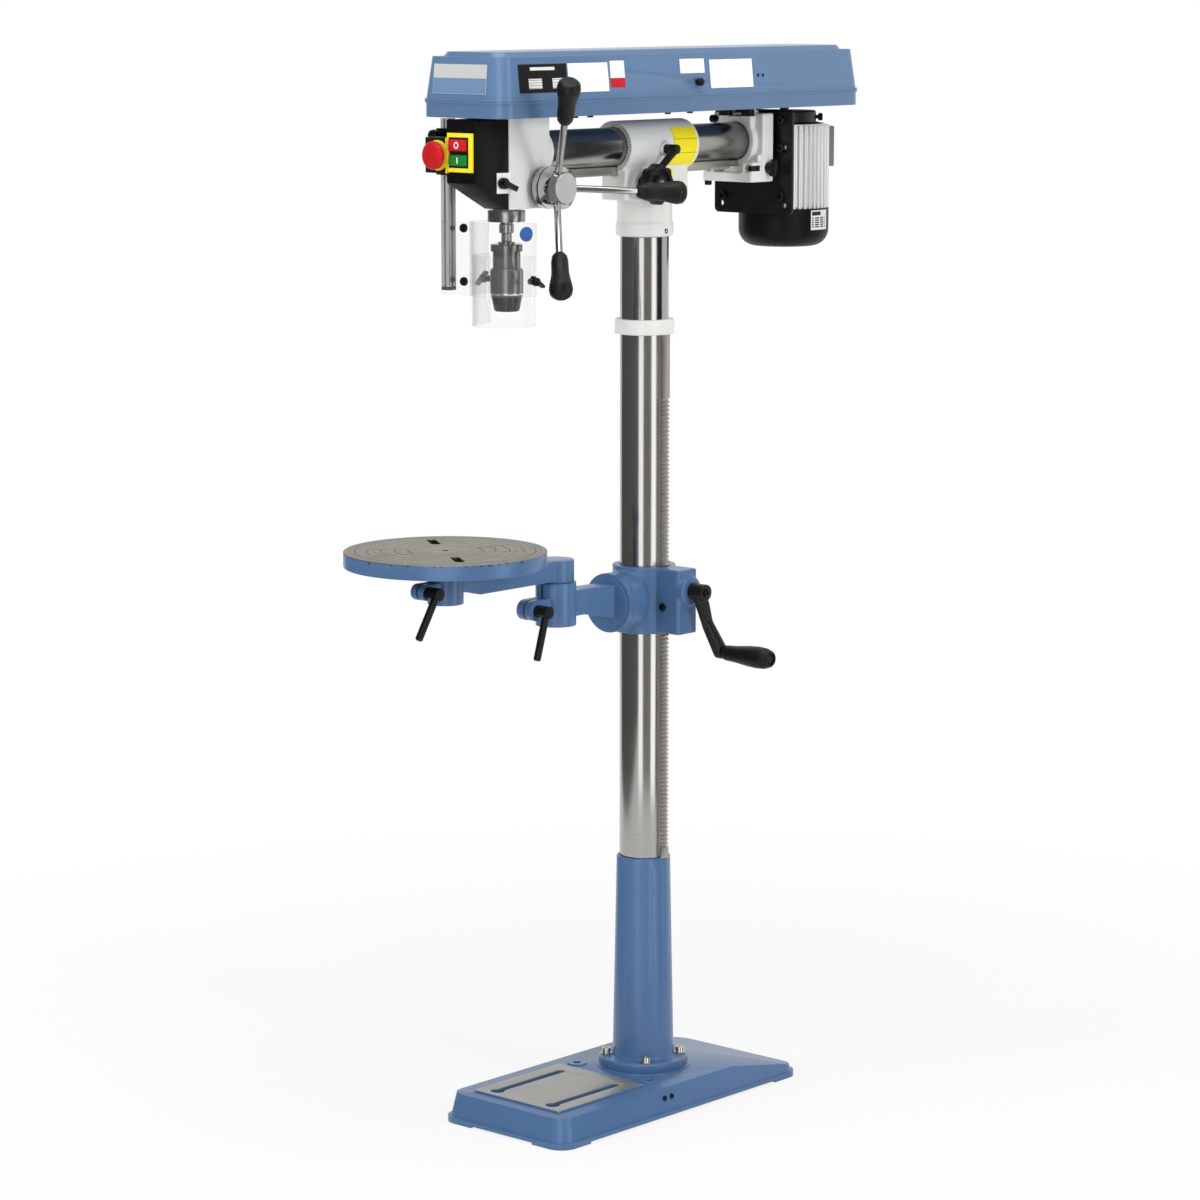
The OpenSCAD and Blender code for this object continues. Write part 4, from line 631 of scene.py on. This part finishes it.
# Selector
# A small black pointer knob on a bare white plate at the hood's right side.
def joint_named(name):
    return next(joint for joint in frame["joints"] if joint["name"] == name)


def laid(plate, turn, at):
    """Turns a plate about its own zero, moves it to its place in metres and writes both into the mesh."""
    plate.rotation_euler = turn
    plate.location = at
    only(plate)
    bpy.ops.object.transform_apply(location=True, rotation=True, scale=True)
    return smoothed(plate)


knob_aim = joint_named("selector_turn")["axis"]
white_plate = moulded("white_plate", tone(238, 238, 234), 0.4, 0.05)
plate = slab("selector_plate", (0.05, -9.5, -14.5), (0.3, 13, 14.5), 0.1, 1)
laid(plate, (0, 0, math.atan2(knob_aim[1], knob_aim[0])), joint_named("selector_turn")["pos_m"])
coated(plate, white_plate, "ram")
dress("selector_knob", lever_black, edge=0.6)

# Quill, spindle and chuck
# Ground steel turning inside the quill. The chuck is of darker steel, with a painted highlight, a band of
# near white round its sleeve just above the nearly black nose.
quill_steel = turned_steel("ground_quill_steel", (1, 1, 60), (170, 168, 164), 0.26)
dress("quill", quill_steel, edge=0.4)
dress("spindle", quill_steel, edge=0.3)
body_steel = turned_steel("blackened_chuck_steel", (1, 1, 50), (116, 115, 112), 0.14)
dress("chuck_body", body_steel, edge=0.5)
sleeve_steel = turned_steel("chuck_sleeve_steel", (1, 1, 50), (112, 111, 108), 0.14)
nose_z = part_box("chuck_sleeve")[0].z
along, across, up = sleeve_steel.axes()
NOSE_H, HIGHLIGHT_BAND_H = 0.0235, 0.0027
nose = up < nose_z + NOSE_H
# A near-white band on the sleeve: a painted highlight where its edge catches the light.
painted_highlight_band = sleeve_steel.between(up, nose_z + NOSE_H, nose_z + NOSE_H + HIGHLIGHT_BAND_H)
lines = sleeve_steel.noise(24, 8, (1, 1, 50))
tint = sleeve_steel.blend(tone(84, 83, 81), tone(140, 139, 136), lines)
tint = sleeve_steel.blend(tint, tone(222, 222, 220), painted_highlight_band)
sleeve_steel.feed(**{"Base Color": sleeve_steel.blend(tint, tone(48, 48, 48), nose)})
dress("chuck_sleeve", sleeve_steel, edge=0.5)
dress("chuck_jaws", quill_steel, edge=0.2)

# Feed wheel
# A polished steel hub with a graduated depth ring behind it, three plated spokes and moulded grips.
plated = turned_steel("polished_hub_steel", (50, 1, 1), (206, 206, 204), 0.16, 0.3)
along, across, up = plated.axes()
end_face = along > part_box("feed_hub")[1].x - 0.0008
plated.feed(Roughness=end_face * 0.25 + 0.1, Metallic=1.0 - end_face * 0.7)
dress("feed_hub", plated, edge=0.5)
ring_steel = turned_steel("depth_ring_steel", (50, 1, 1), (190, 190, 188), 0.2, 0.3)
hub_at = Vector(joint_named("feed_turn")["pos_m"])
along, across, up = ring_steel.axes()
across, up = across - hub_at.y, up - hub_at.z
tick = ring_steel.strokes(up.math("ARCTAN2", across), math.radians(6), 0.42)
ring_low, ring_high = (corner.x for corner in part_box("depth_ring"))
tick = tick * ring_steel.between(along, ring_low + 0.001, ring_low + 0.005)
lines = ring_steel.noise(24, 8, (50, 1, 1))
tint = ring_steel.blend(tone(150, 150, 148), tone(200, 200, 198), lines)
# Dark bands at the ring's inner and outer ends: painted shade in the grooves there.
groove_shade = ring_steel.between(along, ring_low - 0.001, ring_low + 0.0025)
groove_shade = groove_shade + (along > ring_high - 0.0016)
tint = ring_steel.blend(tint, tone(30, 30, 30), tick.math("MAXIMUM", groove_shade))
ring_steel.feed(**{"Base Color": tint, "Roughness": lines * 0.1 + 0.1})
dress("depth_ring", ring_steel, edge=0.5)
spoke_steel = turned_steel("plated_spokes", (1, 1, 1), (184, 184, 182), 0.12, 0.2)
dress("feed_spokes", spoke_steel, edge=0.3)
dress("feed_grips", grip_black, edge=0.9, smooth=60)
dress("spring_cover", hood_black, edge=1.0)

# Chuck guard
# An aluminium channel post hangs from a black clamp, and a clear U-shaped shield is screwed to it.
# A second clear wall slides inside the first and is held by two wing nuts.
dress("guard_holder", hood_black, edge=1.0)
dress("guard_knob", lever_black, edge=0.8)
post_metal = turned_steel("drawn_aluminium", (60, 60, 1), (200, 201, 202), 0.34, 0.3)
along, across, up = post_metal.axes()
post_low, post_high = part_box("guard_post")
cap = up < post_low.z + 0.00505
drawn = post_metal.noise(24, 6, (60, 60, 1))
tint = post_metal.blend(tone(166, 167, 168), tone(212, 213, 214), drawn)
post_metal.feed(**{"Base Color": post_metal.blend(tint, tone(12, 12, 12), cap)})
post_metal.feed(Metallic=0.3 - cap * 0.3)
dress("guard_post", post_metal, edge=0.2)


def clear_wall(name, least=0.03, most=0.75):
    """Clear polycarbonate: almost unseen face on, milky at its cut edges."""
    clear = Finish(name, tone(180, 184, 184), 0.08)
    rim = clear.node("LayerWeight", output=1, Blend=0.35)
    scratches = clear.noise(60, 6, (1, 1, 6))
    clear.feed(Alpha=(rim ** 2.2) * (most - least) + least + scratches * 0.04)
    clear.feed(Roughness=scratches * 0.1 + 0.06)
    return clear


dress("guard_shield", clear_wall("clear_shield"), edge=0.2)
dress("guard_slider", clear_wall("clear_slider"), edge=0.2)
dress("guard_wing_nuts", lever_black, edge=0.7)
shield_low, shield_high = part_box("guard_shield")
TAB_T, TAB_SCREW_X = 2.5, -41
tab_y = post_low.y / MM - 0.1 - TAB_T
thumb_screw = lathe("thumb_screw", [(5, 0), (6.2, 0.6), (6.6, 3), (5.6, 5.4), (2, 6)], 24)
on_tab = copied("tab_screws", thumb_screw, [(TAB_SCREW_X, tab_y, z) for z in (1262, 1338)], (0, -1, 0))
round_head = lathe("round_head", [(4.6, 0), (4.6, 1.0), (3.6, 2.4), (1.5, 2.9)], 24)
places = [(post_high.x / MM - 0.4, post_high.y / MM - 7.5, z) for z in (1262, 1336)]
on_post = copied("post_screws", round_head, places, (1, 0, 0))
coated(joined("guard_tab_screws", [on_tab, on_post]), black_screw, "guard")
SHIELD_R = (shield_high.x - shield_low.x) / 2 / MM
STICKER_Y = joint_named("spindle_spin")["pos_m"][1] / MM - 7
STICKER_Z, STICKER_R = 1333, 10.5
STICKER_TURN = math.radians(-18)
bpy.ops.object.select_all(action="DESELECT")
bpy.ops.mesh.primitive_cylinder_add(vertices=128, radius=(SHIELD_R + 0.1) * MM, depth=0.03,
                                    end_fill_type="NOTHING",
                                    location=(0, STICKER_Y * MM, STICKER_Z * MM))
sticker = bpy.context.object
sticker.name = "round_sticker"
bpy.ops.object.transform_apply(location=True, rotation=True, scale=True)
worked(sticker, "SOLIDIFY", thickness=0.0003, offset=1)
bpy.ops.object.select_all(action="DESELECT")
bpy.ops.mesh.primitive_cylinder_add(vertices=64, radius=STICKER_R * MM, depth=0.03)
punch_aim = Vector((math.cos(STICKER_TURN), math.sin(STICKER_TURN), 0))
punch_at = Vector((0, STICKER_Y, STICKER_Z)) + punch_aim * SHIELD_R
punch = settled(bpy.context.object, punch_at, punch_aim)
worked(sticker, "BOOLEAN", operation="INTERSECT", object=punch, solver="EXACT")
bpy.data.objects.remove(punch)
sticker_blue = moulded("blue_sticker", tone(48, 96, 160), 0.4, 0.03)
coated(smoothed(sticker), sticker_blue, "guard")

# Belt cover
# A pressed steel tray and lid, sprayed blue. The plates on the lid's right side and front end are
# bare or hold blank fields, and small screws close the cover from the side and from below.
cover_paint = enamel("blue_enamel_on_cover", tone(86, 115, 150), 0.3, 0.1, 0.2)
dress("cover_tray", cover_paint, edge=1.6)
dress("cover_lid", cover_paint, edge=2.4, smooth=50)
dress("lid_knob", lever_black, edge=0.5)
lid_low, lid_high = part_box("cover_lid")
LID_FOOT = lid_low.z / MM
PLATE_T, RIVET_GAP = 0.5, 0.15
SIDE_X, SIDE_LEAN = lid_high.x / MM - 3, math.atan2(7, 62)
END_Y, END_LEAN = lid_low.y / MM + 3, math.atan2(6, 62)
PRINT_WHITE, TWO_PART_Z = tone(222, 222, 218), 1.5515
black_plate = moulded("black_plate", tone(20, 20, 22), 0.35, 0.03)
along, across, up = black_plate.axes()
fields = black_plate.between(across, -0.3365, -0.309) + black_plate.between(across, -0.287, -0.2615)
rows = ((up * 270).math("FRACT") > 0.16) * black_plate.between(up, 1.5365, 1.5505)
heading = black_plate.between(across, -0.332, -0.281) * black_plate.between(up, 1.562, 1.5665)
printed = black_plate.blend(tone(20, 20, 22), PRINT_WHITE, fields * rows + heading)
black_plate.feed(**{"Base Color": printed})
red_plate = moulded("red_plate", tone(192, 28, 38), 0.35, 0.03)
side_plates = (
    ("rating_plate_black", -356, -256, 1531, 1571, black_plate, "black_paint"),
    ("label_white_long", -253, -168, 1530, 1571, white_plate, "light_cast"),
    ("label_white_top", -163, -132, 1548.4, 1573, white_plate, "light_cast"),
    ("label_red_foot", -163, -132, 1535, 1548, red_plate, "red_plastic"),
    ("label_white_small", -9, 46, 1552, 1573, white_plate, "light_cast"),
    ("label_white_large", 58, 156, 1529, 1571, white_plate, "light_cast"),
)
for name, near, far, low, high, finish, slot in side_plates:
    plate = slab(name, (0, near, low - LID_FOOT), (PLATE_T, far, high - LID_FOOT), 0.15, 1)
    laid(plate, (0, -SIDE_LEAN, 0), Vector((SIDE_X + RIVET_GAP, 0, LID_FOOT)) * MM)
    coated(plate, finish, "lid")
front_paint = moulded("two_part_front_plate", tone(210, 211, 208), 0.38, 0.03)
along, across, up = front_paint.axes()
lower = front_paint.between(along, -0.053, 0.0485) * front_paint.between(up, 1.53, TWO_PART_Z)
front_paint.feed(**{"Base Color": front_paint.blend(tone(190, 191, 188), tone(106, 133, 168), lower)})
plate = slab("front_plate", (-53.5, -PLATE_T, 1529.5 - LID_FOOT), (49, 0, 1571 - LID_FOOT), 0.15, 1)
laid(plate, (-END_LEAN, 0, 0), Vector((0, END_Y - RIVET_GAP, LID_FOOT)) * MM)
coated(plate, front_paint, "lid")
small_head = lathe("small_head", [(2.4, 0), (2.4, 0.7), (1.4, 1.4)], 20)
places = [(SIDE_X - 2.8, y, 1546) for y in (169, 180)]
lid_screws = copied("lid_side_screws", small_head, places, (1, 0, 0.11))
coated(lid_screws, black_screw, "lid")
tray_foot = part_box("cover_tray")[0].z / MM
TRAY_SCREW_X, TRAY_SCREW_Y = 62, (-222, -190, -20, 30, 190)
places = [(x, y, tray_foot) for x in (-TRAY_SCREW_X, TRAY_SCREW_X) for y in TRAY_SCREW_Y]
tray_screws = copied("tray_screws", socket_screw(4.6, 3.2), places, (0, 0, -1))
coated(tray_screws, black_screw, "ram")

# Belt drive
# Two stepped aluminium pulleys and one rubber belt, seen only with the lid open.
pulley_metal = turned_steel("turned_aluminium", (1, 1, 80), (204, 205, 206), 0.3, 0.3)
dress("spindle_pulley", pulley_metal, edge=0.3)
dress("motor_pulley", pulley_metal, edge=0.3)
dress("drive_belt", moulded("belt_rubber", tone(28, 28, 28), 0.7, 0.4), edge=0.5)

# Motor bracket and motor plate
# A light grey casting clamps the ram's rear end. A black steel plate slides on two bars in it and
# carries the motor.
bracket_paint = enamel("pale_grey_enamel_with_painted_slot_shade", *PALE_ENAMEL)
along, across, up = bracket_paint.axes()
mount_low, mount_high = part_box("motor_bracket")
slot_z = joint_named("motor_lock_turn")["pos_m"][2]
SLOT_MIDDLE, SLOT_HALF, SLOT_R = 0.192, 0.017, 0.0042
# The dark rounded slot on the bracket's side is painted: painted shade, for the dark inside of the slot.
past_end = ((across - SLOT_MIDDLE).math("ABSOLUTE") - SLOT_HALF).math("MAXIMUM", 0.0)
painted_bracket_slot_shade = (bracket_paint.reach(past_end, up - slot_z) < SLOT_R) * (along > mount_high.x - 0.005)
posts = (up > RAM_Z + 0.0375) * (across < mount_high.y - 0.0255)
dark = painted_bracket_slot_shade.math("MAXIMUM", posts)
tint = bracket_paint.blend(pale_coat(bracket_paint), tone(20, 20, 20), dark)
bracket_paint.feed(**{"Base Color": tint})
cast("motor_bracket", bracket_paint, 1.3, 4)
dress("motor_plate", black_paint, edge=0.8)
dress("motor_lock_knob", lever_black, edge=1.0)
PLATE_FRONT = mount_high.y / MM + 11
places = [(x, PLATE_FRONT, z) for x, z in ((-58, 1358.5), (56.5, 1361.5), (56.5, 1434), (56.5, 1476))]
plate_bolts = copied("motor_plate_bolts", socket_screw(6.5, 6), places, (0, -1, 0))
coated(plate_bolts, black_screw, "motor")
post_screw = lathe("post_screw", [(3, 0), (3, 10), (5.6, 10.5), (6, 12), (6, 19), (5, 20)], 32)
settled(post_screw, (-31.5, 214, RAM_Z / MM + 32), (-1, 0, 0))
foot_bolt = settled(socket_screw(5.5, 7), (-42, 196, mount_low.z / MM + 0.3), (0, 0, -1))
coated(joined("bracket_screws", [post_screw, foot_bolt]), black_screw, "ram")

# Motor
# A ribbed aluminium body with a black fan cover below and a grey terminal box behind.
motor_metal = turned_steel("ribbed_motor_aluminium", (40, 40, 1), (222, 223, 222), 0.4, 0.2)
housing_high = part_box("motor_housing")[1]
along, across, up = motor_metal.axes()
shield = up > housing_high.z - 0.0195
lines = motor_metal.noise(24, 8, (40, 40, 1))
tint = motor_metal.blend(tone(196, 197, 196), tone(238, 239, 238), lines)
tint = motor_metal.blend(tint, tone(14, 14, 14), shield)
motor_metal.feed(**{"Base Color": tint, "Metallic": 0.55 - shield * 0.5})
dress("motor_housing", motor_metal, edge=0.3)
dress("fan_cover", hood_black, edge=0.8, smooth=50)
dress("motor_rotor", pinion_steel, edge=0.3)
grey_plastic = moulded("grey_terminal_plastic", tone(112, 113, 108), 0.45, 0.2)
dress("terminal_box", grey_plastic, edge=1.4)
box_low, box_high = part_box("terminal_box")
lid_plate = slab("terminal_lid", (box_low.x / MM + 5, box_high.y / MM - 1.6, box_low.z / MM + 20),
                 (box_high.x / MM - 5, box_high.y / MM + 0.45, box_high.z / MM - 5))
coated(smoothed(lid_plate), grey_plastic, "motor")
fan_low, fan_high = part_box("fan_cover")
motor_y = middle_of("fan_cover").y
fan_r = (fan_high.x - fan_low.x) / 2
shield_screw = lathe("shield_screw", [(3, 0), (3, 6), (5.4, 6.5), (5.8, 8), (5.8, 12), (4.8, 13)], 24)
settled(shield_screw, (34, motor_y / MM + 31, RAM_Z / MM + 33), (0.747, 0.665, 0))
coated(smoothed(shield_screw), black_screw, "motor")
bpy.ops.object.select_all(action="DESELECT")
bpy.ops.mesh.primitive_cylinder_add(vertices=160, radius=fan_r + 0.15 * MM, depth=0.03,
                                    end_fill_type="NOTHING", location=(0, motor_y, fan_high.z - 0.0175))
motor_label = bpy.context.object
motor_label.name = "motor_label"
bpy.ops.object.transform_apply(location=True, rotation=True, scale=True)
bpy.ops.object.mode_set(mode="EDIT")
for turn, side in ((18, 1), (-14, -1)):
    lean = math.radians(turn)
    bpy.ops.mesh.select_all(action="SELECT")
    bpy.ops.mesh.bisect(plane_co=(0, motor_y, 0), clear_outer=True,
                        plane_no=(-math.sin(lean) * side, math.cos(lean) * side, 0))
bpy.ops.mesh.select_all(action="SELECT")
bpy.ops.mesh.bisect(plane_co=(0, motor_y, 0), clear_inner=True, plane_no=(1, 0, 0))
bpy.ops.object.mode_set(mode="OBJECT")
worked(motor_label, "SOLIDIFY", thickness=0.0004, offset=1)
rating = moulded("ruled_rating_plate", tone(214, 215, 212), 0.4, 0.03)
along, across, up = rating.axes()
across = across - motor_y
top_row = rating.between(up, fan_high.z - 0.0105, fan_high.z - 0.0045)
rows = ((up * 300).math("FRACT") > 0.38) * rating.between(up, fan_high.z - 0.0295, fan_high.z - 0.0125)
cells = rows * ((across * 85).math("FRACT") > 0.22)
printed = (top_row * (across < 0.004) + cells) * rating.between(across, -0.015, 0.0165)
rating.feed(**{"Base Color": rating.blend(tone(214, 215, 212), tone(34, 34, 34), printed)})
coated(smoothed(motor_label), rating, "motor")

# Studio
# A white floor without a horizon, three large soft lamps, cards that only show in reflections, and
# a camera where the photographer stood.
ROOM_LIGHT = 0.42
CARD_REACH = 1.05


def seen_directly(tree):
    """1 for the rays that show the backdrop itself, in the picture, in metal and through clear plastic."""
    path = tree.nodes.new("ShaderNodeLightPath")
    shown = Reading(tree, path.outputs["Is Camera Ray"])
    for ray in ("Is Glossy Ray", "Is Transmission Ray"):
        shown = shown.math("MAXIMUM", Reading(tree, path.outputs[ray]))
    return shown


bpy.ops.object.select_all(action="DESELECT")
bpy.ops.mesh.primitive_plane_add(size=600, location=(0, 0, 0))
floor = bpy.context.object
floor.name = "studio_floor"
floor_paint = Finish("white_floor", tone(240, 240, 240), 0.9)
along, across, up = floor_paint.axes()
away = floor_paint.ease(floor_paint.reach(along, across), 0.45, 2.2)
glow = floor_paint.tree.nodes.new("ShaderNodeEmission")
glow.inputs["Color"].default_value = (1, 1, 1, 1)
mixer = floor_paint.tree.nodes.new("ShaderNodeMixShader")
plug(floor_paint.tree, mixer.inputs[0], seen_directly(floor_paint.tree) * (away * 0.2 + 0.8))
floor_paint.tree.links.new(floor_paint.shader.outputs[0], mixer.inputs[1])
floor_paint.tree.links.new(glow.outputs[0], mixer.inputs[2])
floor_paint.tree.links.new(mixer.outputs[0], floor_paint.tree.nodes["Material Output"].inputs[0])
floor.data.materials.append(floor_paint.material)

world = bpy.data.worlds.new("studio")
bpy.context.scene.world = world
world.use_nodes = True
sky = world.node_tree.nodes["Background"]
sky.inputs["Color"].default_value = (1, 1, 1, 1)
shown = seen_directly(world.node_tree)
plug(world.node_tree, sky.inputs["Strength"], shown * (1 - ROOM_LIGHT) + ROOM_LIGHT)

black_cloth = Finish("black_card_cloth", tone(10, 10, 10), 0.9)
dark_cloth = Finish("dark_grey_card_cloth", tone(110, 110, 110), 0.9)
grey_cloth = Finish("grey_card_cloth", tone(186, 186, 186), 0.9)
bright_cloth = Finish("bright_card", tone(250, 250, 250), 0.9, **{"Emission Strength": 1.6})
bright_cloth.feed(**{"Emission Color": (1.0, 1.0, 1.0, 1.0)})


def card(name, bearing, spread, cloth):
    """A tall card round the machine that only reflections show, by bearing and half spread in degrees."""
    bearing = math.radians(bearing)
    width = 2 * CARD_REACH * math.tan(math.radians(spread))
    bpy.ops.object.select_all(action="DESELECT")
    bpy.ops.mesh.primitive_plane_add(size=1)
    board = bpy.context.object
    board.name = name
    board.scale = (width, 3.6, 1)
    board.rotation_euler = (math.pi / 2, 0, bearing + math.pi / 2)
    board.location = (CARD_REACH * math.cos(bearing), CARD_REACH * math.sin(bearing), 1.4)
    bpy.ops.object.transform_apply(location=True, rotation=True, scale=True)
    board.data.materials.append(cloth.material)
    for ray in ("camera", "diffuse", "shadow", "transmission"):
        setattr(board, "visible_" + ray, False)


card("left_card", -127.5, 54.5, dark_cloth)
card("window_card", -63.5, 9.5, bright_cloth)
card("middle_card", -34.5, 19.5, grey_cloth)
card("edge_card", -4, 11, bright_cloth)
card("right_card", 26, 15, black_cloth)


def lamp(name, at, aim, width, height, power, mirrored=True):
    bpy.ops.object.select_all(action="DESELECT")
    bpy.ops.object.light_add(type="AREA", location=at)
    light = bpy.context.object
    light.name = name
    light.data.shape = "RECTANGLE"
    light.data.size, light.data.size_y, light.data.energy = width, height, power
    light.rotation_euler = (Vector(aim) - Vector(at)).to_track_quat("-Z", "Y").to_euler()
    light.visible_glossy = mirrored


lamp("left_lamp", (-1.6, -4.2, 2.0), (0, 0, 0.9), 1.2, 3.0, 95, mirrored=False)
lamp("right_lamp", (4.44, -0.16, 1.9), (0, 0, 0.9), 1.0, 3.0, 92, mirrored=False)
lamp("top_lamp", (0.8, -1.0, 4.2), (0, 0, 0.8), 2.6, 2.6, 70)

CAMERA_AT = (3.812, -4.382, 1.702)
CAMERA_TURN = math.radians(41.673)
CAMERA_DIP = math.radians(9.175)
SENSOR_WIDTH, LENS = 36, 117.16
bpy.ops.object.camera_add(location=CAMERA_AT, rotation=(math.pi / 2 - CAMERA_DIP, 0, CAMERA_TURN))
camera = bpy.context.object
camera.data.sensor_width = SENSOR_WIDTH
camera.data.lens = LENS
bpy.context.scene.camera = camera
bpy.context.scene.view_settings.view_transform = "Standard"
